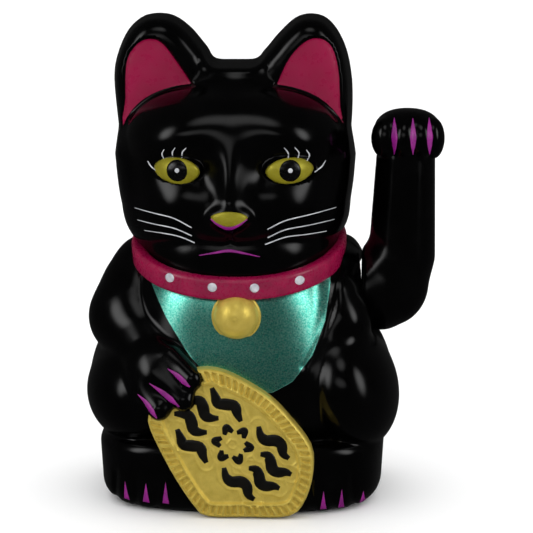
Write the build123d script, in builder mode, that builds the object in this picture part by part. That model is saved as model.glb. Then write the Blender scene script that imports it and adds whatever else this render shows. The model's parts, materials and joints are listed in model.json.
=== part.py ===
from build123d import *
import math
import os

os.makedirs("parts", exist_ok=True)

# Beckoning cat figurine, millimetres. Origin at the middle of the flat base, +Z up, the cat faces -Y
# and its raised, waving arm is on the +X side. The arm hangs on an axle along X inside the body.

# ---------------------------------------------------------------- driving dimensions
HEIGHT = 180.0            # floor to ear tips
WALL = 2.2                # moulded shell wall
SEAM_Y = 0.0              # plane where the front and back shells meet
FIT = 0.05                # radial clearance of screws and press-free fits
RUNNING_FIT = 0.03        # radial clearance of the axle in its bushes

# Outline of body and head: height, left, right, front, back, squareness (2 is an ellipse)
BODY_SECTIONS = [
    (0, -52, 51, -42.5, 43, 2.7),
    (7, -55, 52.6, -44, 44.5, 2.7),
    (18, -55.8, 54, -44.5, 45, 2.6),
    (30, -58.5, 56.8, -45, 46, 2.5),
    (42, -59.8, 57.8, -44.5, 46, 2.4),
    (50, -58.6, 56.8, -43.5, 45.5, 2.3),
    (58, -56, 53.8, -42.5, 45, 2.2),
    (70, -54, 49.5, -41, 43.5, 2.2),
    (82, -50, 45.5, -39, 41, 2.2),
    (92, -44.5, 40.5, -36, 37, 2.2),
    (100, -43.5, 37.8, -35.5, 34.5, 2.2),
    (110, -46.4, 39.9, -37, 35, 2.3),
    (122, -47.8, 41, -38, 36, 2.3),
    (134, -47.3, 41.2, -37, 36, 2.3),
    (144, -45.5, 39.5, -34, 33.5, 2.3),
    (152, -41.5, 35.5, -28.5, 28.5, 2.2),
    (158, -34, 28, -21.5, 21.5, 2.2),
    (161.5, -24, 18, -14, 14, 2.1),
    (163, -13, 7, -7, 7, 2.0),
]
OUTLINE_POINTS = 24
HEAD_X = -3.0             # the head sits a little to the left of the body
EAR_FRONT_Y = -12.0
EAR_BACK_Y = 11.0
EAR_TAPER = 9.0           # degrees of draft on each side of the ear's middle

COLLAR_CENTRE = (-2.0, -1.5, 88.0)
COLLAR_TILT = 9.0         # degrees, low at the front
COLLAR_HALF_WIDTH = 46.5
COLLAR_HALF_DEPTH = 41.5
COLLAR_HEIGHT = 8.0

COIN_CENTRE = (-1.1, 27.6)
COIN_HALF_LENGTH = 32.8
COIN_HALF_WIDTH = 22.2
COIN_TILT = -39.0
COIN_FRONT_Y = -49.5
COIN_RIM = 2.4
COIN_RECESS = 0.8

BELL_CENTRE = (-0.2, -40.5, 73.2)
BELL_RADIUS = 8.4

FOOT_RADIUS = 11.0
FOOT_FRONT_Y = -35.5
REST_SHOULDER = Vector(-41, -6, 76)
REST_ELBOW = Vector(-43.5, -20, 62)
REST_PAW = Vector(-27, -37, 49)
REST_UPPER_RADIUS = 14.5
REST_FORE_RADIUS = 12.0

# Axle and waving arm
AXIS_Z = 74.5
AXLE_RADIUS = 1.5
AXLE_LEFT_X = -20.0
AXLE_RIGHT_X = 54.0
POCKET_X = 43.5           # floor of the round recess that the arm turns in
POCKET_RADIUS = 15.0
HUB_HOLE_RADIUS = 7.5
ARM_WALL = 1.6
ARM_INNER_X = 45.5
ARM_TUBE_X = 60.4
ARM_SHOULDER_RADIUS = 13.2
ARM_ROOT_RADIUS = 12.2
ARM_WRIST_RADIUS = 10.8
ARM_WRIST_Z = 128.0
PAW_Z = 136.0
PAW_HALF_WIDTH = 13.4
PAW_HALF_HEIGHT = 9.3
HUB_RADIUS = 6.0

# Base plate, battery bay and sliding door
BASE_THICK = 3.6
BASE_GAP = 0.2
BAY_X0, BAY_X1 = -29.0, 28.0
BAY_Y0, BAY_Y1 = 15.2, 30.2
BAY_ROOF_Z = 19.0
BAY_WALL = 1.6
DOOR_X = -0.5
DOOR_HALF_WIDTH = 31.0
DOOR_TONGUE = 1.0
DOOR_Z0, DOOR_Z1 = 0.6, 2.2
DOOR_TONGUE_Z = 1.4
DOOR_Y0, DOOR_Y1 = 13.2, 40.6
SLIDE_GAP = 0.15

# Battery cell, AA size
CELL_RADIUS = 7.1
CELL_LENGTH = 50.5
CELL_NUB_RADIUS = 2.6
CELL_NUB_LENGTH = 1.3
CELL_Y, CELL_Z = 22.7, 11.2
CONTACT_THICK = 0.5

# Mechanism frame and drive
BRACKET_X0, BRACKET_X1 = -17.5, 29.5
BRACKET_PLATE = 2.5
BRACKET_HALF_DEPTH = 9.0
BRACKET_TOP_Z = 82.0
FLANGE_REACH = 7.5
BRACKET_SCREW_Y = 5.0
BUSH_RADIUS = 3.0
BUSH_FLANGE_RADIUS = 4.2
BUSH_FLANGE = 0.8
DRIVE_X = 6.0             # middle of coil, pendulum and magnet
BOARD_Z = 9.0
BOARD_THICK = 1.6
BOARD_LENGTH, BOARD_DEPTH = 38.0, 18.0
BOBBIN_RADIUS = 9.0
BOBBIN_CORE = 4.0
BOBBIN_HEIGHT = 8.0
BOBBIN_FLANGE = 1.0
WEIGHT_RADIUS = 10.0
WEIGHT_Z0, WEIGHT_Z1 = 27.5, 38.5
MAGNET_RADIUS = 7.0
MAGNET_HEIGHT = 5.0
STEM_RADIUS = 2.0

LEAD_RADIUS = 0.6
LEAD_BEND = 1.6

# Fasteners
SCREW_RADIUS = 1.45
SCREW_HEAD_RADIUS = 2.8
SCREW_HEAD = 1.8
SCREW_TIP_Z = 15.0
BOSS_RADIUS = 4.2
BOSS_TOP_Z = 18.0
BOSSES = [(-34.0, -22.0), (34.0, -22.0), (-42.0, 8.0), (42.0, 8.0)]
RIB_ENDS = [-51.6, 50.6, -53.0, 51.4]    # where each boss's rib meets the shell wall

BRACKET_SCREWS = [
    (x, y)
    for x in (BRACKET_X0 - FLANGE_REACH / 2, BRACKET_X1 + FLANGE_REACH / 2)
    for y in (-BRACKET_SCREW_Y, BRACKET_SCREW_Y)
]


def save(solid, name):
    """Label one piece and write its STEP file."""
    solid.label = name
    export_step(solid, f"parts/{name}.step")


def rounded_outline(section, inset):
    """Superellipse around one level of the body or head, drawn smaller by inset."""
    level, left, right, front, back, squareness = section
    half_width = (right - left) / 2 - inset
    half_depth = (back - front) / 2 - inset
    points = []
    for step in range(OUTLINE_POINTS):
        angle = 2 * math.pi * step / OUTLINE_POINTS
        across = math.copysign(abs(math.cos(angle)) ** (2 / squareness), math.cos(angle))
        along = math.copysign(abs(math.sin(angle)) ** (2 / squareness), math.sin(angle))
        points.append(((left + right) / 2 + half_width * across, (front + back) / 2 + half_depth * along))
    with BuildSketch(Plane.XY.offset(level)) as face:
        with BuildLine():
            Spline(*points, periodic=True)
        make_face()
    return face.sketch


def body_core(inset):
    """Body and head in one smooth loft; an inset core runs out through the floor and stops below the crown."""
    sections = list(BODY_SECTIONS)
    if inset:
        floor = (-1.0,) + sections[0][1:]
        crown = (sections[-2][0] - inset,) + sections[-2][1:]
        sections = [floor] + sections[1:-2] + [crown]
    with BuildPart() as core:
        loft([rounded_outline(s, inset) for s in sections])
    return core.part


def ear_form(side, inset):
    """One pointed ear, thickest at its middle and drafted towards front and back."""
    tip_x = HEAD_X + side * 28.5
    outer_x = HEAD_X + side * (45.0 - inset)
    inner_x = HEAD_X + side * (8.5 + inset)
    middle_y = (EAR_FRONT_Y + EAR_BACK_Y) / 2
    depth = (EAR_BACK_Y - EAR_FRONT_Y) / 2 - inset
    with BuildPart() as ear:
        with BuildSketch(Plane.XZ.offset(-middle_y)) as outline:
            with BuildLine():
                Polyline(
                    (inner_x, 150),
                    (inner_x, 162.5 - inset),
                    (tip_x - side * 2.5, HEIGHT - inset),
                    (tip_x + side * 2.5, HEIGHT - inset),
                    (outer_x - side * 5, 172 - inset),
                    (outer_x, 158 - inset),
                    (outer_x - side * 1.5, 140),
                    (inner_x, 150),
                )
            make_face()
            fillet(outline.vertices().group_by(Axis.Y)[-1], radius=2.0)
        extrude(amount=depth, both=True, taper=EAR_TAPER)
    return ear.part


def limb(start, end, radius):
    """A round-ended limb between two points."""
    along = end - start
    with BuildPart() as piece:
        with BuildSketch(Plane(origin=start, z_dir=along)):
            Circle(radius)
        extrude(amount=along.length)
        with Locations(start, end):
            Sphere(radius)
    return piece.part


def moulded_form(inset):
    """The cat without its waving arm: outer form at inset 0, hollow at the wall thickness."""
    pocket_depth = 30.0
    with BuildPart() as form:
        add(body_core(inset))
        for side in (-1, 1):
            add(ear_form(side, inset))
            foot_x = -0.5 + side * 43.5
            foot_z = FOOT_RADIUS
            add(limb(Vector(foot_x, -20, foot_z), Vector(foot_x, FOOT_FRONT_Y, foot_z), FOOT_RADIUS - inset))
        add(limb(REST_SHOULDER, REST_ELBOW, REST_UPPER_RADIUS - inset))
        add(limb(REST_ELBOW, REST_PAW, REST_FORE_RADIUS - inset))
        with BuildSketch(Plane.YZ.offset(POCKET_X - inset)):
            with Locations((0, AXIS_Z)):
                Circle(POCKET_RADIUS + inset)
        extrude(amount=pocket_depth, mode=Mode.SUBTRACT)
    return form.part


# ---------------------------------------------------------------- front and back shells
def raised_collar():
    """Round-edged collar band about the neck, filled inside where the hollow is cut out later."""
    collar_plane = Plane(COLLAR_CENTRE).rotated((COLLAR_TILT, 0, 0))
    with BuildPart() as collar:
        with BuildSketch(collar_plane.offset(-COLLAR_HEIGHT / 2)):
            Ellipse(COLLAR_HALF_WIDTH, COLLAR_HALF_DEPTH)
        extrude(amount=COLLAR_HEIGHT)
        fillet(collar.edges(), radius=COLLAR_HEIGHT / 2 - 0.4)
    return collar.part


def raised_coin():
    """Oval coin with a raised rim on the belly."""
    with BuildPart() as coin:
        with BuildSketch(Plane.XZ.offset(-COIN_FRONT_Y)):
            with Locations(COIN_CENTRE):
                Ellipse(COIN_HALF_LENGTH, COIN_HALF_WIDTH, rotation=COIN_TILT)
        extrude(amount=-12)
        with BuildSketch(Plane.XZ.offset(-COIN_FRONT_Y)):
            with Locations(COIN_CENTRE):
                Ellipse(COIN_HALF_LENGTH - COIN_RIM, COIN_HALF_WIDTH - COIN_RIM, rotation=COIN_TILT)
        extrude(amount=-COIN_RECESS, mode=Mode.SUBTRACT)
    return coin.part


def screw_boss(x, y, rib_end):
    """Blind boss that a base screw bites into, with a rib out to the shell wall."""
    with BuildPart() as boss:
        with BuildSketch(Plane.XY.offset(BASE_THICK)):
            with Locations((x, y)):
                Circle(BOSS_RADIUS)
            with Locations(((x + rib_end) / 2, y)):
                Rectangle(abs(rib_end - x), 1.6)
        extrude(amount=BOSS_TOP_Z - BASE_THICK)
        with BuildSketch(Plane.XY.offset(BASE_THICK)):
            with Locations((x, y)):
                Circle(SCREW_RADIUS + FIT)
        extrude(amount=SCREW_TIP_Z + 0.5 - BASE_THICK, mode=Mode.SUBTRACT)
    return boss.part


outer_form = moulded_form(0)
hollow = moulded_form(WALL)

with BuildPart() as whole_shell:
    add(outer_form)
    add(raised_collar())
    add(raised_coin())
    with Locations(BELL_CENTRE):
        Sphere(BELL_RADIUS)
    add(hollow, mode=Mode.SUBTRACT)
    with BuildSketch(Plane.YZ.offset(POCKET_X - 8)):
        with Locations((0, AXIS_Z)):
            Circle(HUB_HOLE_RADIUS)
    extrude(amount=12, mode=Mode.SUBTRACT)
    for (boss_x, boss_y), rib_end in zip(BOSSES, RIB_ENDS):
        add(screw_boss(boss_x, boss_y, rib_end))

seam_plane = Plane.XZ.offset(-SEAM_Y)

with BuildPart() as front_shell:
    add(whole_shell.part)
    split(bisect_by=seam_plane, keep=Keep.TOP)
save(front_shell.part, "front_shell")

with BuildPart() as back_shell:
    add(whole_shell.part)
    split(bisect_by=seam_plane, keep=Keep.BOTTOM)
    notch_half_width = DOOR_HALF_WIDTH + DOOR_TONGUE + 0.5
    with BuildSketch(Plane.XY.offset(-1)):
        with Locations((DOOR_X, DOOR_Y1)):
            Rectangle(2 * notch_half_width, 20)
    extrude(amount=1 + DOOR_Z1 + 0.4, mode=Mode.SUBTRACT)
save(back_shell.part, "back_shell")


# ---------------------------------------------------------------- waving arm
def arm_form(inset):
    """Arm with its shoulder stub along X, upright tube and paw; hollow at the arm's wall thickness."""
    stub_radius = ARM_SHOULDER_RADIUS - inset
    stub_start = ARM_INNER_X + inset
    with BuildPart() as arm:
        with BuildSketch(Plane.XZ) as stub:
            with BuildLine():
                stub_end = Line((stub_start, AXIS_Z), (stub_start, AXIS_Z + stub_radius))
                stub_side = Line(stub_end @ 1, (ARM_TUBE_X - 1.5, AXIS_Z + stub_radius))
                elbow = RadiusArc(stub_side @ 1, (ARM_TUBE_X - 1.5 + stub_radius, AXIS_Z), stub_radius)
                Line(elbow @ 1, stub_end @ 0)
            make_face()
        revolve(axis=Axis((0, 0, AXIS_Z), (1, 0, 0)))
        with BuildSketch(Plane.XZ) as upright:
            with Locations((ARM_TUBE_X, PAW_Z)):
                Ellipse(PAW_HALF_WIDTH - inset, PAW_HALF_HEIGHT - inset)
            with BuildLine():
                Polyline(
                    (ARM_TUBE_X, AXIS_Z),
                    (ARM_TUBE_X + ARM_ROOT_RADIUS - inset, AXIS_Z),
                    (ARM_TUBE_X + ARM_WRIST_RADIUS - inset, ARM_WRIST_Z),
                    (ARM_TUBE_X, PAW_Z),
                    close=True,
                )
            make_face()
            with Locations((ARM_TUBE_X - PAW_HALF_WIDTH, PAW_Z)):
                Rectangle(2 * PAW_HALF_WIDTH, 4 * PAW_HALF_HEIGHT, mode=Mode.SUBTRACT)
        revolve(axis=Axis((ARM_TUBE_X, 0, 0), (0, 0, 1)))
    return arm.part


with BuildPart() as whole_arm:
    add(arm_form(0))
    add(arm_form(ARM_WALL), mode=Mode.SUBTRACT)
    with BuildSketch(Plane.YZ.offset(ARM_INNER_X - 1)):
        with Locations((0, AXIS_Z)):
            Circle(HUB_RADIUS)
    extrude(amount=ARM_WALL + 2, mode=Mode.SUBTRACT)

with BuildPart() as arm_front_half:
    add(whole_arm.part)
    split(bisect_by=Plane.XZ, keep=Keep.TOP)
save(arm_front_half.part, "arm_front_half")

with BuildPart() as arm_rear_half:
    add(whole_arm.part)
    split(bisect_by=Plane.XZ, keep=Keep.BOTTOM)
save(arm_rear_half.part, "arm_rear_half")


def ring_along_x(start, length, outer, inner):
    """A round piece about the axle, from start along +X."""
    with BuildPart() as ring:
        with BuildSketch(Plane.YZ.offset(start)):
            with Locations((0, AXIS_Z)):
                Circle(outer)
                if inner:
                    Circle(inner, mode=Mode.SUBTRACT)
        extrude(amount=length)
    return ring.part


hub_flange_x = ARM_INNER_X + ARM_WALL
with BuildPart() as arm_hub:
    add(ring_along_x(38.0, 17.0, HUB_RADIUS, AXLE_RADIUS))
    add(ring_along_x(hub_flange_x, 2.0, HUB_RADIUS + 3.5, AXLE_RADIUS))
save(arm_hub.part, "arm_hub")

save(ring_along_x(AXLE_LEFT_X, AXLE_RIGHT_X - AXLE_LEFT_X, AXLE_RADIUS, 0), "axle_pin")

collar_width = 1.4
left_collar_x = BRACKET_X0 - BUSH_FLANGE - 0.4 - collar_width
right_collar_x = BRACKET_X1 + BUSH_FLANGE + 0.4
with BuildPart() as axle_collars:
    for collar_x in (left_collar_x, right_collar_x):
        add(ring_along_x(collar_x, collar_width, 3.2, AXLE_RADIUS))
    chamfer(axle_collars.edges().filter_by(GeomType.CIRCLE).sort_by(SortBy.RADIUS)[-4:], length=0.3)
save(axle_collars.part, "axle_collars")

# ---------------------------------------------------------------- pendulum
lever_half_thick = 1.5
lever_foot_z = WEIGHT_Z1
with BuildPart() as pendulum_lever:
    add(ring_along_x(DRIVE_X - 4, 8, 4.5, 0))
    with BuildSketch(Plane.YZ.offset(DRIVE_X - lever_half_thick)):
        with BuildLine():
            Polyline((-4.2, AXIS_Z), (4.2, AXIS_Z), (2.6, lever_foot_z), (-2.6, lever_foot_z), close=True)
        make_face()
    extrude(amount=2 * lever_half_thick)
    with BuildSketch(Plane.XY.offset(lever_foot_z)):
        with Locations((DRIVE_X, 0)):
            Circle(WEIGHT_RADIUS)
    extrude(amount=1.5)
    with BuildSketch(Plane.XY.offset(WEIGHT_Z0)):
        with Locations((DRIVE_X, 0)):
            Circle(STEM_RADIUS)
    extrude(amount=WEIGHT_Z1 - WEIGHT_Z0)
    add(ring_along_x(DRIVE_X - 5, 10, AXLE_RADIUS, 0), mode=Mode.SUBTRACT)
save(pendulum_lever.part, "pendulum_lever")


def disc(centre, z0, height, outer, inner=0):
    """Upright round piece, with a bore when inner is given."""
    with BuildPart() as piece:
        with BuildSketch(Plane.XY.offset(z0)):
            with Locations(centre):
                Circle(outer)
                if inner:
                    Circle(inner, mode=Mode.SUBTRACT)
        extrude(amount=height)
    return piece.part


drive_centre = (DRIVE_X, 0)
with BuildPart() as counterweight:
    add(disc(drive_centre, WEIGHT_Z0, WEIGHT_Z1 - WEIGHT_Z0, WEIGHT_RADIUS, STEM_RADIUS + FIT))
    chamfer(counterweight.edges().filter_by(GeomType.CIRCLE).sort_by(SortBy.RADIUS)[-2:], length=0.6)
save(counterweight.part, "counterweight")

with BuildPart() as pendulum_magnet:
    add(disc(drive_centre, WEIGHT_Z0 - MAGNET_HEIGHT, MAGNET_HEIGHT, MAGNET_RADIUS))
    chamfer(pendulum_magnet.edges().filter_by(GeomType.CIRCLE), length=0.4)
save(pendulum_magnet.part, "pendulum_magnet")

# ---------------------------------------------------------------- base plate and battery door
base_inset = WALL + BASE_GAP
bay_length = BAY_X1 - BAY_X0
bay_depth = BAY_Y1 - BAY_Y0
bay_centre = ((BAY_X0 + BAY_X1) / 2, (BAY_Y0 + BAY_Y1) / 2)
with BuildPart() as base_plate:
    add(rounded_outline(BODY_SECTIONS[0], base_inset))
    extrude(amount=BASE_THICK)
    with BuildSketch(Plane.XY.offset(BASE_THICK)):
        with Locations(bay_centre):
            Rectangle(bay_length + 2 * BAY_WALL, bay_depth + 2 * BAY_WALL)
    extrude(amount=BAY_ROOF_Z + BAY_WALL - BASE_THICK)
    with BuildSketch(Plane.XY):
        with Locations(bay_centre):
            Rectangle(bay_length, bay_depth)
    extrude(amount=BAY_ROOF_Z, mode=Mode.SUBTRACT)
    channel_length = 40.0
    channel_centre = (DOOR_X, DOOR_Y0 - SLIDE_GAP + channel_length / 2)
    with BuildSketch(Plane.XY):
        with Locations(channel_centre):
            Rectangle(2 * (DOOR_HALF_WIDTH + SLIDE_GAP), channel_length)
    extrude(amount=DOOR_Z1 + SLIDE_GAP, mode=Mode.SUBTRACT)
    with BuildSketch(Plane.XY.offset(DOOR_TONGUE_Z - SLIDE_GAP)):
        with Locations(channel_centre):
            Rectangle(2 * (DOOR_HALF_WIDTH + DOOR_TONGUE + SLIDE_GAP), channel_length)
    extrude(amount=DOOR_Z1 - DOOR_TONGUE_Z + 2 * SLIDE_GAP, mode=Mode.SUBTRACT)
    for boss_x, boss_y in BOSSES:
        add(disc((boss_x, boss_y), 0, SCREW_HEAD + 0.3, SCREW_HEAD_RADIUS + 0.3), mode=Mode.SUBTRACT)
        add(disc((boss_x, boss_y), 0, BASE_THICK, SCREW_RADIUS + 0.15), mode=Mode.SUBTRACT)
    for screw_x, screw_y in BRACKET_SCREWS:
        add(disc((screw_x, screw_y), 1.0, BASE_THICK, SCREW_RADIUS + FIT), mode=Mode.SUBTRACT)
save(base_plate.part, "base_plate")

door_limit = extrude(rounded_outline(BODY_SECTIONS[0], base_inset + SLIDE_GAP), amount=BASE_THICK)
with BuildPart() as battery_door:
    door_length = DOOR_Y1 - DOOR_Y0
    door_centre = (DOOR_X, (DOOR_Y0 + DOOR_Y1) / 2)
    with BuildSketch(Plane.XY.offset(DOOR_Z0)):
        with Locations(door_centre):
            Rectangle(2 * DOOR_HALF_WIDTH, door_length)
    extrude(amount=DOOR_Z1 - DOOR_Z0)
    with BuildSketch(Plane.XY.offset(DOOR_TONGUE_Z)):
        with Locations(door_centre):
            Rectangle(2 * (DOOR_HALF_WIDTH + DOOR_TONGUE), door_length)
    extrude(amount=DOOR_Z1 - DOOR_TONGUE_Z)
    with BuildSketch(Plane.XY.offset(DOOR_Z0)):
        with Locations((DOOR_X, DOOR_Y1 - 6)):
            with GridLocations(1, 2, 1, 4):
                SlotOverall(22, 0.9)
    extrude(amount=-0.35)
    add(door_limit, mode=Mode.INTERSECT)
save(battery_door.part, "battery_door")


def pan_screw(x, y, head_z, head_up, tip_z):
    """Pan-head screw with a cross recess; the head's flat bearing face is at head_z."""
    outward = 1 if head_up else -1
    with BuildPart() as screw:
        add(disc((x, y), min(head_z, tip_z), abs(head_z - tip_z), SCREW_RADIUS))
        with BuildSketch(Plane.XY.offset(head_z)):
            with Locations((x, y)):
                Circle(SCREW_HEAD_RADIUS)
        extrude(amount=outward * SCREW_HEAD)
        top = screw.faces().sort_by(Axis.Z)[-1 if head_up else 0]
        fillet(top.edges(), radius=0.7)
        with BuildSketch(Plane.XY.offset(head_z + outward * SCREW_HEAD)):
            with Locations((x, y)):
                Rectangle(3.0, 0.6)
                Rectangle(0.6, 3.0)
        extrude(amount=-outward * 1.0, mode=Mode.SUBTRACT)
    return screw.part


with BuildPart() as base_screws:
    for boss_x, boss_y in BOSSES:
        add(pan_screw(boss_x, boss_y, SCREW_HEAD + 0.3, False, SCREW_TIP_Z))
save(base_screws.part, "base_screws")

# ---------------------------------------------------------------- mechanism bracket
flange_top_z = BASE_THICK + BRACKET_PLATE
bracket_middle = (BRACKET_X0 + BRACKET_X1) / 2
bracket_length = BRACKET_X1 - BRACKET_X0
post_grid = (BOARD_LENGTH - 6, BOARD_DEPTH - 5, 2, 2)
with BuildPart() as pivot_bracket:
    with BuildSketch(Plane.XY.offset(BASE_THICK)):
        with Locations((bracket_middle, 0)):
            Rectangle(bracket_length, 2 * BRACKET_HALF_DEPTH)
        for flange_x in (BRACKET_X0 - FLANGE_REACH / 2, BRACKET_X1 + FLANGE_REACH / 2):
            with Locations((flange_x, 0)):
                Rectangle(FLANGE_REACH, 2 * BRACKET_HALF_DEPTH)
    extrude(amount=BRACKET_PLATE)
    for upright_x in (BRACKET_X0, BRACKET_X1 - BRACKET_PLATE):
        with BuildSketch(Plane.YZ.offset(upright_x)):
            with BuildLine():
                Polyline(
                    (-BRACKET_HALF_DEPTH, BASE_THICK),
                    (BRACKET_HALF_DEPTH, BASE_THICK),
                    (5.5, BRACKET_TOP_Z),
                    (-5.5, BRACKET_TOP_Z),
                    close=True,
                )
            make_face()
        extrude(amount=BRACKET_PLATE)
        add(ring_along_x(upright_x, BRACKET_PLATE, BUSH_RADIUS, 0), mode=Mode.SUBTRACT)
    with BuildSketch(Plane.XY.offset(flange_top_z)):
        with Locations(drive_centre):
            with GridLocations(*post_grid):
                Circle(2.2)
    extrude(amount=BOARD_Z - flange_top_z)
    for screw_x, screw_y in BRACKET_SCREWS:
        add(disc((screw_x, screw_y), BASE_THICK, BRACKET_PLATE, SCREW_RADIUS + 0.15), mode=Mode.SUBTRACT)
save(pivot_bracket.part, "pivot_bracket")

with BuildPart() as bracket_screws:
    for screw_x, screw_y in BRACKET_SCREWS:
        add(pan_screw(screw_x, screw_y, flange_top_z, True, 1.2))
save(bracket_screws.part, "bracket_screws")

bush_bore = AXLE_RADIUS + RUNNING_FIT
with BuildPart() as axle_bush_left:
    add(ring_along_x(BRACKET_X0, BRACKET_PLATE, BUSH_RADIUS, bush_bore))
    add(ring_along_x(BRACKET_X0 - BUSH_FLANGE, BUSH_FLANGE, BUSH_FLANGE_RADIUS, bush_bore))
save(axle_bush_left.part, "axle_bush_left")

with BuildPart() as axle_bush_right:
    add(ring_along_x(BRACKET_X1 - BRACKET_PLATE, BRACKET_PLATE, BUSH_RADIUS, bush_bore))
    add(ring_along_x(BRACKET_X1, BUSH_FLANGE, BUSH_FLANGE_RADIUS, bush_bore))
save(axle_bush_right.part, "axle_bush_right")

# ---------------------------------------------------------------- circuit board and drive coil
board_top_z = BOARD_Z + BOARD_THICK
with BuildPart() as circuit_board:
    with BuildSketch(Plane.XY.offset(BOARD_Z)):
        with Locations(drive_centre):
            RectangleRounded(BOARD_LENGTH, BOARD_DEPTH, 1.5)
    extrude(amount=BOARD_THICK)
save(circuit_board.part, "circuit_board")

core_height = BOBBIN_HEIGHT - 2 * BOBBIN_FLANGE
with BuildPart() as coil_bobbin:
    add(disc(drive_centre, board_top_z, BOBBIN_FLANGE, BOBBIN_RADIUS))
    add(disc(drive_centre, board_top_z + BOBBIN_FLANGE, core_height, BOBBIN_CORE))
    add(disc(drive_centre, board_top_z + BOBBIN_HEIGHT - BOBBIN_FLANGE, BOBBIN_FLANGE, BOBBIN_RADIUS))
    add(disc(drive_centre, board_top_z, BOBBIN_HEIGHT, 2.0), mode=Mode.SUBTRACT)
save(coil_bobbin.part, "coil_bobbin")

with BuildPart() as drive_coil:
    add(disc(drive_centre, board_top_z + BOBBIN_FLANGE, core_height, BOBBIN_RADIUS - 0.8, BOBBIN_CORE))
    fillet(drive_coil.edges().filter_by(GeomType.CIRCLE).sort_by(SortBy.RADIUS)[-2:], radius=0.8)
save(drive_coil.part, "drive_coil")

with BuildPart() as transistor:
    with BuildSketch(Plane.XY.offset(board_top_z + 1.5)):
        with Locations((-9.5, 3.5)):
            Circle(2.3)
            with Locations((0, 2.2)):
                Rectangle(5, 1.6, mode=Mode.SUBTRACT)
    extrude(amount=4.6)
    with BuildSketch(Plane.XY.offset(board_top_z)):
        with Locations((-9.5, 3.0)):
            with GridLocations(1.27, 1, 3, 1):
                Rectangle(0.45, 0.45)
    extrude(amount=1.5)
save(transistor.part, "transistor")

with BuildPart() as capacitor:
    add(disc((20.5, 3.5), board_top_z, 8.0, 2.8))
    fillet(capacitor.faces().sort_by(Axis.Z)[-1].edges(), radius=0.5)
save(capacitor.part, "capacitor")

with BuildPart() as resistors:
    for resistor_x in (-9.5, 20.5):
        with BuildSketch(Plane.YZ.offset(resistor_x - 2.2)):
            with Locations((-4.5, board_top_z + 0.9)):
                Circle(0.9)
        extrude(amount=4.4)
save(resistors.part, "resistors")

# ---------------------------------------------------------------- battery and contacts
cell_end_x = BAY_X1 - CONTACT_THICK
cell_start_x = cell_end_x - CELL_LENGTH
with BuildPart() as battery_cell:
    with BuildSketch(Plane.YZ.offset(cell_start_x)):
        with Locations((CELL_Y, CELL_Z)):
            Circle(CELL_RADIUS)
    extrude(amount=CELL_LENGTH - CELL_NUB_LENGTH)
    fillet(battery_cell.edges().filter_by(GeomType.CIRCLE), radius=0.6)
    with BuildSketch(Plane.YZ.offset(cell_end_x - CELL_NUB_LENGTH)):
        with Locations((CELL_Y, CELL_Z)):
            Circle(CELL_NUB_RADIUS)
    extrude(amount=CELL_NUB_LENGTH)
save(battery_cell.part, "battery_cell")

for contact_name, contact_x in (("battery_contact_plus", cell_end_x), ("battery_contact_minus", BAY_X0)):
    with BuildPart() as contact:
        with BuildSketch(Plane.YZ.offset(contact_x)):
            with Locations((CELL_Y, CELL_Z)):
                RectangleRounded(11.0, 12.0, 1.0)
        extrude(amount=CONTACT_THICK)
    save(contact.part, contact_name)

spring_wire = 0.35
spring_start_x = BAY_X0 + CONTACT_THICK + spring_wire
spring_length = cell_start_x - spring_start_x - spring_wire
with BuildPart() as battery_spring:
    with BuildLine() as coils:
        Helix(
            pitch=spring_length / 3.5,
            height=spring_length,
            radius=4.2,
            center=(spring_start_x, CELL_Y, CELL_Z),
            direction=(1, 0, 0),
        )
    with BuildSketch(Plane(origin=coils.line @ 0, z_dir=coils.line % 0)):
        Circle(spring_wire)
    sweep(path=coils.line, is_frenet=True)
save(battery_spring.part, "battery_spring")


# ---------------------------------------------------------------- internal leads
roof_z = BAY_ROOF_Z + BAY_WALL


def internal_lead(name, x_board, x_bay):
    """Lead from the board, over the front edge of the battery bay and down to its contact."""
    y_board = 7.0
    run_z = roof_z + 2.4
    with BuildPart() as lead:
        with BuildLine() as route:
            FilletPolyline(
                (x_board, y_board, board_top_z),
                (x_board, y_board, run_z),
                (x_board, CELL_Y, run_z),
                (x_bay, CELL_Y, run_z),
                (x_bay, CELL_Y, roof_z),
                radius=LEAD_BEND,
            )
        with BuildSketch(Plane(origin=route.line @ 0, z_dir=route.line % 0)):
            Circle(LEAD_RADIUS)
        sweep(path=route.line)
    save(lead.part, name)


internal_lead("lead_red", 21.0, BAY_X1 - 3)
internal_lead("lead_black", -10.5, BAY_X0 + 4)
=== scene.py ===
import json
import math

import bpy
import numpy as np
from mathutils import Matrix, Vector


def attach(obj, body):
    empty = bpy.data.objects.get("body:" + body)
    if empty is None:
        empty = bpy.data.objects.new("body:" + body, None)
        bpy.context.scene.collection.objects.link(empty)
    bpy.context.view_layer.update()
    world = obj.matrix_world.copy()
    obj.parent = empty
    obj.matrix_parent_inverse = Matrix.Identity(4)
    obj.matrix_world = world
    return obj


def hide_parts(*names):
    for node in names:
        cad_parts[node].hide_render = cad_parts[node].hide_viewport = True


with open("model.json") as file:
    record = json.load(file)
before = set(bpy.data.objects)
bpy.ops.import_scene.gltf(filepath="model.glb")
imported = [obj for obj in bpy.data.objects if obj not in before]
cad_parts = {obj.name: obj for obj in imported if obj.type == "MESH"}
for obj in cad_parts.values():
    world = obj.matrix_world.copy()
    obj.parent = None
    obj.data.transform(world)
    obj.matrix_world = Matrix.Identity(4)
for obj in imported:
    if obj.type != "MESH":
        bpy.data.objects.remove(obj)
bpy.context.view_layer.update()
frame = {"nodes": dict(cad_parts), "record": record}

MM = 0.001
SEAM_Y = 0.0            # the front and back shells meet on this plane
AXIS_Z = 74.5           # height of the waving arm's axle
ARM_FACE_X = 44.4       # flat inner face of the waving arm
POCKET_X = 43.5         # floor of the round recess that the arm turns in
POCKET_RADIUS = 16.8    # wide enough for the elbow at both ends of its swing
SHELL_WALL = 2.0
ARM_WALL = 1.6
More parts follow.
